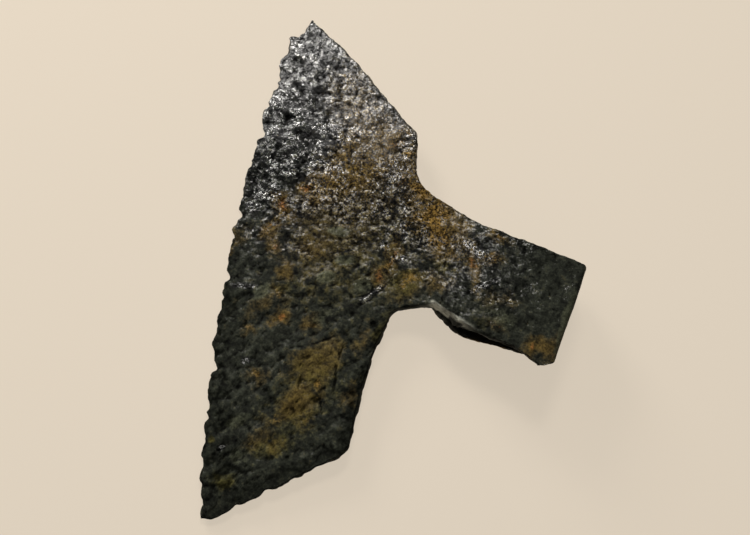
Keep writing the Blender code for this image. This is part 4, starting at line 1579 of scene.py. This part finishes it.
    def _wax(self, nodes: Nodes, wax: Socketed, coarse: Socketed, medium: Socketed) -> bpy.types.NodeSocket:
        """How much wax there is: broken into patches by the noise, and little or none on rust."""
        patchy = nodes.spanned(nodes.weighed(coarse, medium, 0.6), 0.72, 0.90, 0.03, 1.0)
        lost = 0.0
        for rust in self.rusts:
            if rust.wax_lost:
                covered = nodes.maths("MULTIPLY", nodes.number(rust.name), rust.wax_lost)
                lost = nodes.maths("MAXIMUM", lost, covered)
        kept = nodes.maths("SUBTRACT", 1.0, lost, clamp=True)
        return nodes.maths("MULTIPLY", nodes.maths("MULTIPLY", wax, patchy), kept)

    @staticmethod
    def _grey(nodes: Nodes, value: Socketed) -> bpy.types.NodeSocket:
        """A number as a grey colour."""
        return nodes.add("CombineColor", Red=value, Green=value, Blue=value).outputs[0]

    def _roughness(
        self, nodes: Nodes, gloss: Socketed, medium: Socketed, fine: Socketed
    ) -> bpy.types.NodeSocket:
        """Rough where the wax is thin or rust stands proud of it, and glossy elsewhere."""
        base = nodes.spanned(gloss, 0.0, 1.0, self.matt_roughness, self.gloss_roughness)
        mottle = nodes.spanned(nodes.weighed(medium, fine, 0.6), 0.55, 1.05, 0.85, 1.45)
        rough = nodes.maths("MULTIPLY", base, mottle)
        added = {rust.name: rust.roughness for rust in self.rusts if rust.roughness}
        for name, more in (added | {"inside": self.inside_roughness, "worn": self.worn_roughness}).items():
            rough = nodes.maths("ADD", rough, nodes.maths("MULTIPLY", nodes.number(name), more))
        return nodes.maths("MINIMUM", rough, self.roughest)

    def _bumps(
        self, nodes: Nodes, place: Socketed, wax: Socketed, width: float, depth: float
    ) -> bpy.types.NodeSocket:
        """Facets finer than the mesh: rounded cells and noise of two sizes, deeper where there is wax.

        Args:
            nodes: The material's nodes.
            place: Where each point lies.
            wax: How much wax there is.
            width: Size of the facets, in mm.
            depth: Their depth, in mm.

        Returns:
            The normal.
        """
        size = width * MM
        fineness = 1 / (1.2 * size)
        cells = nodes.add("TexVoronoi", {"feature": "F1"}, Vector=place, Scale=fineness, Randomness=1.0)
        big, small = self._noise(nodes, place, 2.2 * width, 3.0), self._noise(nodes, place, 0.8 * width, 1.0)
        rounded = nodes.maths("MULTIPLY", cells.outputs["Distance"], 0.45)
        height = nodes.maths("SUBTRACT", nodes.weighed(big, small, 0.4), rounded)
        strength = nodes.spanned(wax, 0.0, 0.55, 0.4 * self.glint_depth, self.glint_depth)
        bump = nodes.add("Bump", Height=height, Strength=strength, Distance=depth * MM)
        return bump.outputs["Normal"]


@dataclass
class AxeHead:
    """The whole head: its form, its relief and its finish."""

    outline: Outline = Outline()
    rim: Rim = Rim()
    relief: Relief = Relief()
    weathering: Weathering = Weathering()
    finish: CorrodedIron = CorrodedIron()

    def __post_init__(self) -> None:
        """Makes the blade and the socket from the shared outline."""
        self.blade = Blade(self.outline, self.rim)
        self.socket = Socket(self.outline, self.rim)

    def form(self) -> Skin:
        """The smooth forged form, both sides welded into one skin."""
        grids: list[Array] = []
        for side in Side:
            socket_grids, neck_low, neck_top = self.socket.surfaces(side, self.blade.cells_up[1])
            grids += socket_grids + self.blade.surfaces(side, neck_low, neck_top)
        return Skin.welded(NODE + "_skin", grids)

    def build(self, pose: HeadPose) -> bpy.types.Object:
        """Builds the head, corrodes it and lays it down.

        Args:
            pose: How it lies.

        Returns:
            The finished object.
        """
        skin = self.form()
        rough, crusted = self.weathering.rough(skin.place), self.weathering.crusted(skin.place)
        fine = self.relief.fine(skin.place, rough, crusted)
        height = self.relief.held(skin.place, self.relief.broad(skin.place, rough) + fine)
        height *= self._flat_on_poll(skin.place)
        self.weathering.paint(skin, self.socket, height)
        laid = pose(skin.place + skin.normal * height[:, None])
        laid[:, 2] -= min(laid[:, 2].min(), 0)
        skin.put(laid)
        head = bpy.data.objects.new(NODE + "_forged", skin.mesh)
        bpy.context.scene.collection.objects.link(head)
        skin.mesh.materials.append(self.finish.material(SLOT))
        skin.mesh.shade_smooth()
        log.info("%s: %d vertices, %d faces", head.name, len(skin.mesh.vertices), len(skin.mesh.polygons))
        return head

    @staticmethod
    def _flat_on_poll(place: Array) -> Array:
        """Calms the relief at the poll's face, which was hammered flat."""
        return 0.45 + 0.55 * between(0.4, -3.0, place[:, 0])


@dataclass(frozen=True)
class SoftBox:
    """A lamp with a rectangular face.

    Attributes:
        name: Its name.
        at: Where it hangs, in the head's own frame, in mm.
        aim: Where it points, in the same frame.
        size: Width and height of its face, in metres.
        power: Its power, in watts.
        colour: Its colour, linear RGB.
    """

    name: str
    at: Triple
    aim: Triple
    size: Pair
    power: float
    colour: Triple = (1.0, 0.965, 0.925)

    def hang(self, pose: HeadPose) -> None:
        """Adds the lamp to the scene."""
        light = bpy.data.lights.new(self.name, "AREA")
        light.shape = "RECTANGLE"
        light.size, light.size_y = self.size
        light.energy = self.power
        light.color = self.colour
        lamp = bpy.data.objects.new(self.name, light)
        bpy.context.scene.collection.objects.link(lamp)
        place, target = pose(np.array([self.at, self.aim]))
        turn = Vector(target - place).to_track_quat("-Z", "Y").to_matrix().to_4x4()
        lamp.matrix_world = Matrix.Translation(Vector(place)) @ turn


@dataclass(frozen=True)
class Studio:
    """A plain pale floor, soft light from the head's upper left, and the camera. Sizes in metres.

    Attributes:
        floor_colour: The floor's colour, linear.
        floor_glow: How much of its brightness doesn't depend on the lamps.
        floor_dimming: How much of the rest the lamps give back.
        floor_size: Its side.
        lamps: The lamps.
        surround: Colour of the even light all round.
        surround_strength: Its strength.
        aim: Where the camera looks, in the head's own frame, in mm.
        distance: How far away it is.
        focal_length: Its focal length, in mm, on a 36 mm wide sensor.
        roll: How far the head's y axis is turned from upright in the picture, in radians.
        tilt: How far the camera stands from square on, towards the beard, in radians.
    """

    floor_colour: Triple = (0.755, 0.661, 0.538)
    floor_glow: float = 0.775
    floor_dimming: float = 0.75
    floor_size: float = 6.0
    lamps: tuple[SoftBox, ...] = (
        SoftBox("key", (-250.0, 560.0, 900.0), (-110.0, 20.0, 0.0), (0.24, 0.20), 7.0),
        SoftBox("rake", (-720.0, 560.0, 480.0), (-90.0, 0.0, 0.0), (0.30, 0.30), 11.0),
        SoftBox("side", (-760.0, 240.0, 680.0), (-70.0, 0.0, 0.0), (0.30, 0.30), 1.5),
        SoftBox("fill", (500.0, -300.0, 900.0), (-80.0, 0.0, 0.0), (0.9, 0.9), 1.3),
    )
    surround: Triple = (1.0, 0.98, 0.95)
    surround_strength: float = 0.12
    aim: Triple = (-89.0, -3.0, 0.0)
    distance: float = 0.65625
    focal_length: float = 70.0
    roll: float = math.radians(18.4)
    tilt: float = math.radians(10.5)

    def build(self, pose: HeadPose) -> None:
        """Sets up the floor, the lamps, the world and the camera."""
        self._floor()
        for lamp in self.lamps:
            lamp.hang(pose)
        self._world()
        self._camera(pose)
        bpy.context.scene.view_settings.view_transform = "Standard"
        log.info("studio: floor, %d lamps and the camera", len(self.lamps))

    def _floor(self) -> None:
        """The floor, partly self-lit so that it stays even."""
        half = self.floor_size / 2
        mesh = bpy.data.meshes.new("floor")
        corners = [(-half, -half, 0), (half, -half, 0), (half, half, 0), (-half, half, 0)]
        mesh.from_pydata(corners, [], [(0, 1, 2, 3)])
        floor = bpy.data.objects.new("floor", mesh)
        bpy.context.scene.collection.objects.link(floor)
        material = bpy.data.materials.new("pale_floor")
        material.use_nodes = True
        shader = material.node_tree.nodes["Principled BSDF"]
        lit = (1 - self.floor_glow) * self.floor_dimming
        shader.inputs["Base Color"].default_value = (*(channel * lit for channel in self.floor_colour), 1)
        shader.inputs["Roughness"].default_value = 1.0
        shader.inputs["Specular IOR Level"].default_value = 0.0
        shader.inputs["Emission Color"].default_value = (*self.floor_colour, 1)
        shader.inputs["Emission Strength"].default_value = self.floor_glow
        mesh.materials.append(material)

    def _world(self) -> None:
        """A dim, even surrounding."""
        world = bpy.data.worlds.new("studio")
        world.use_nodes = True
        background = world.node_tree.nodes["Background"]
        background.inputs["Color"].default_value = (*self.surround, 1)
        background.inputs["Strength"].default_value = self.surround_strength
        bpy.context.scene.world = world

    def _camera(self, pose: HeadPose) -> None:
        """The camera, square to the blade but for its tilt and roll."""
        cos, sin = math.cos(self.tilt), math.sin(self.tilt)
        tilted = np.array([[1, 0, 0], [0, cos, -sin], [0, sin, cos]])
        right = tilted @ [math.cos(self.roll), math.sin(self.roll), 0]
        up = tilted @ [-math.sin(self.roll), math.cos(self.roll), 0]
        back = tilted @ [0, 0, 1.0]
        axes = np.stack([pose.way(right), pose.way(up), pose.way(back)], 1)
        place = pose(np.array([self.aim]))[0] + axes[:, 2] * self.distance
        data = bpy.data.cameras.new("camera")
        data.lens = self.focal_length
        camera = bpy.data.objects.new("camera", data)
        bpy.context.scene.collection.objects.link(camera)
        matrix = np.eye(4)
        matrix[:3, :3], matrix[:3, 3] = axes, place
        camera.matrix_world = Matrix(matrix.tolist())
        bpy.context.scene.camera = camera


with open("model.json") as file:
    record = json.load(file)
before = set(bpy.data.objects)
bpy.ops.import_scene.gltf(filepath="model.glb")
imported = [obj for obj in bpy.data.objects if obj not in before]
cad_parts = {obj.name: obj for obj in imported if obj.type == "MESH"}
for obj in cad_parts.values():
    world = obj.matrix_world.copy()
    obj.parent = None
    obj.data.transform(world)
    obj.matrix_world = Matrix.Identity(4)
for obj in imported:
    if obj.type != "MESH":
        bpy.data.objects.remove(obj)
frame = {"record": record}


def main() -> None:
    """Builds the studio and the head."""
    logging.basicConfig(level=logging.INFO, format="%(name)s: %(message)s")
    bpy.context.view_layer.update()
    head = AxeHead()
    pose = HeadPose.from_record(frame["record"], head.socket)
    Studio().build(pose)
    forged = head.build(pose)
    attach(forged, "root")
    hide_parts(NODE)


if __name__ == "__main__":
    main()
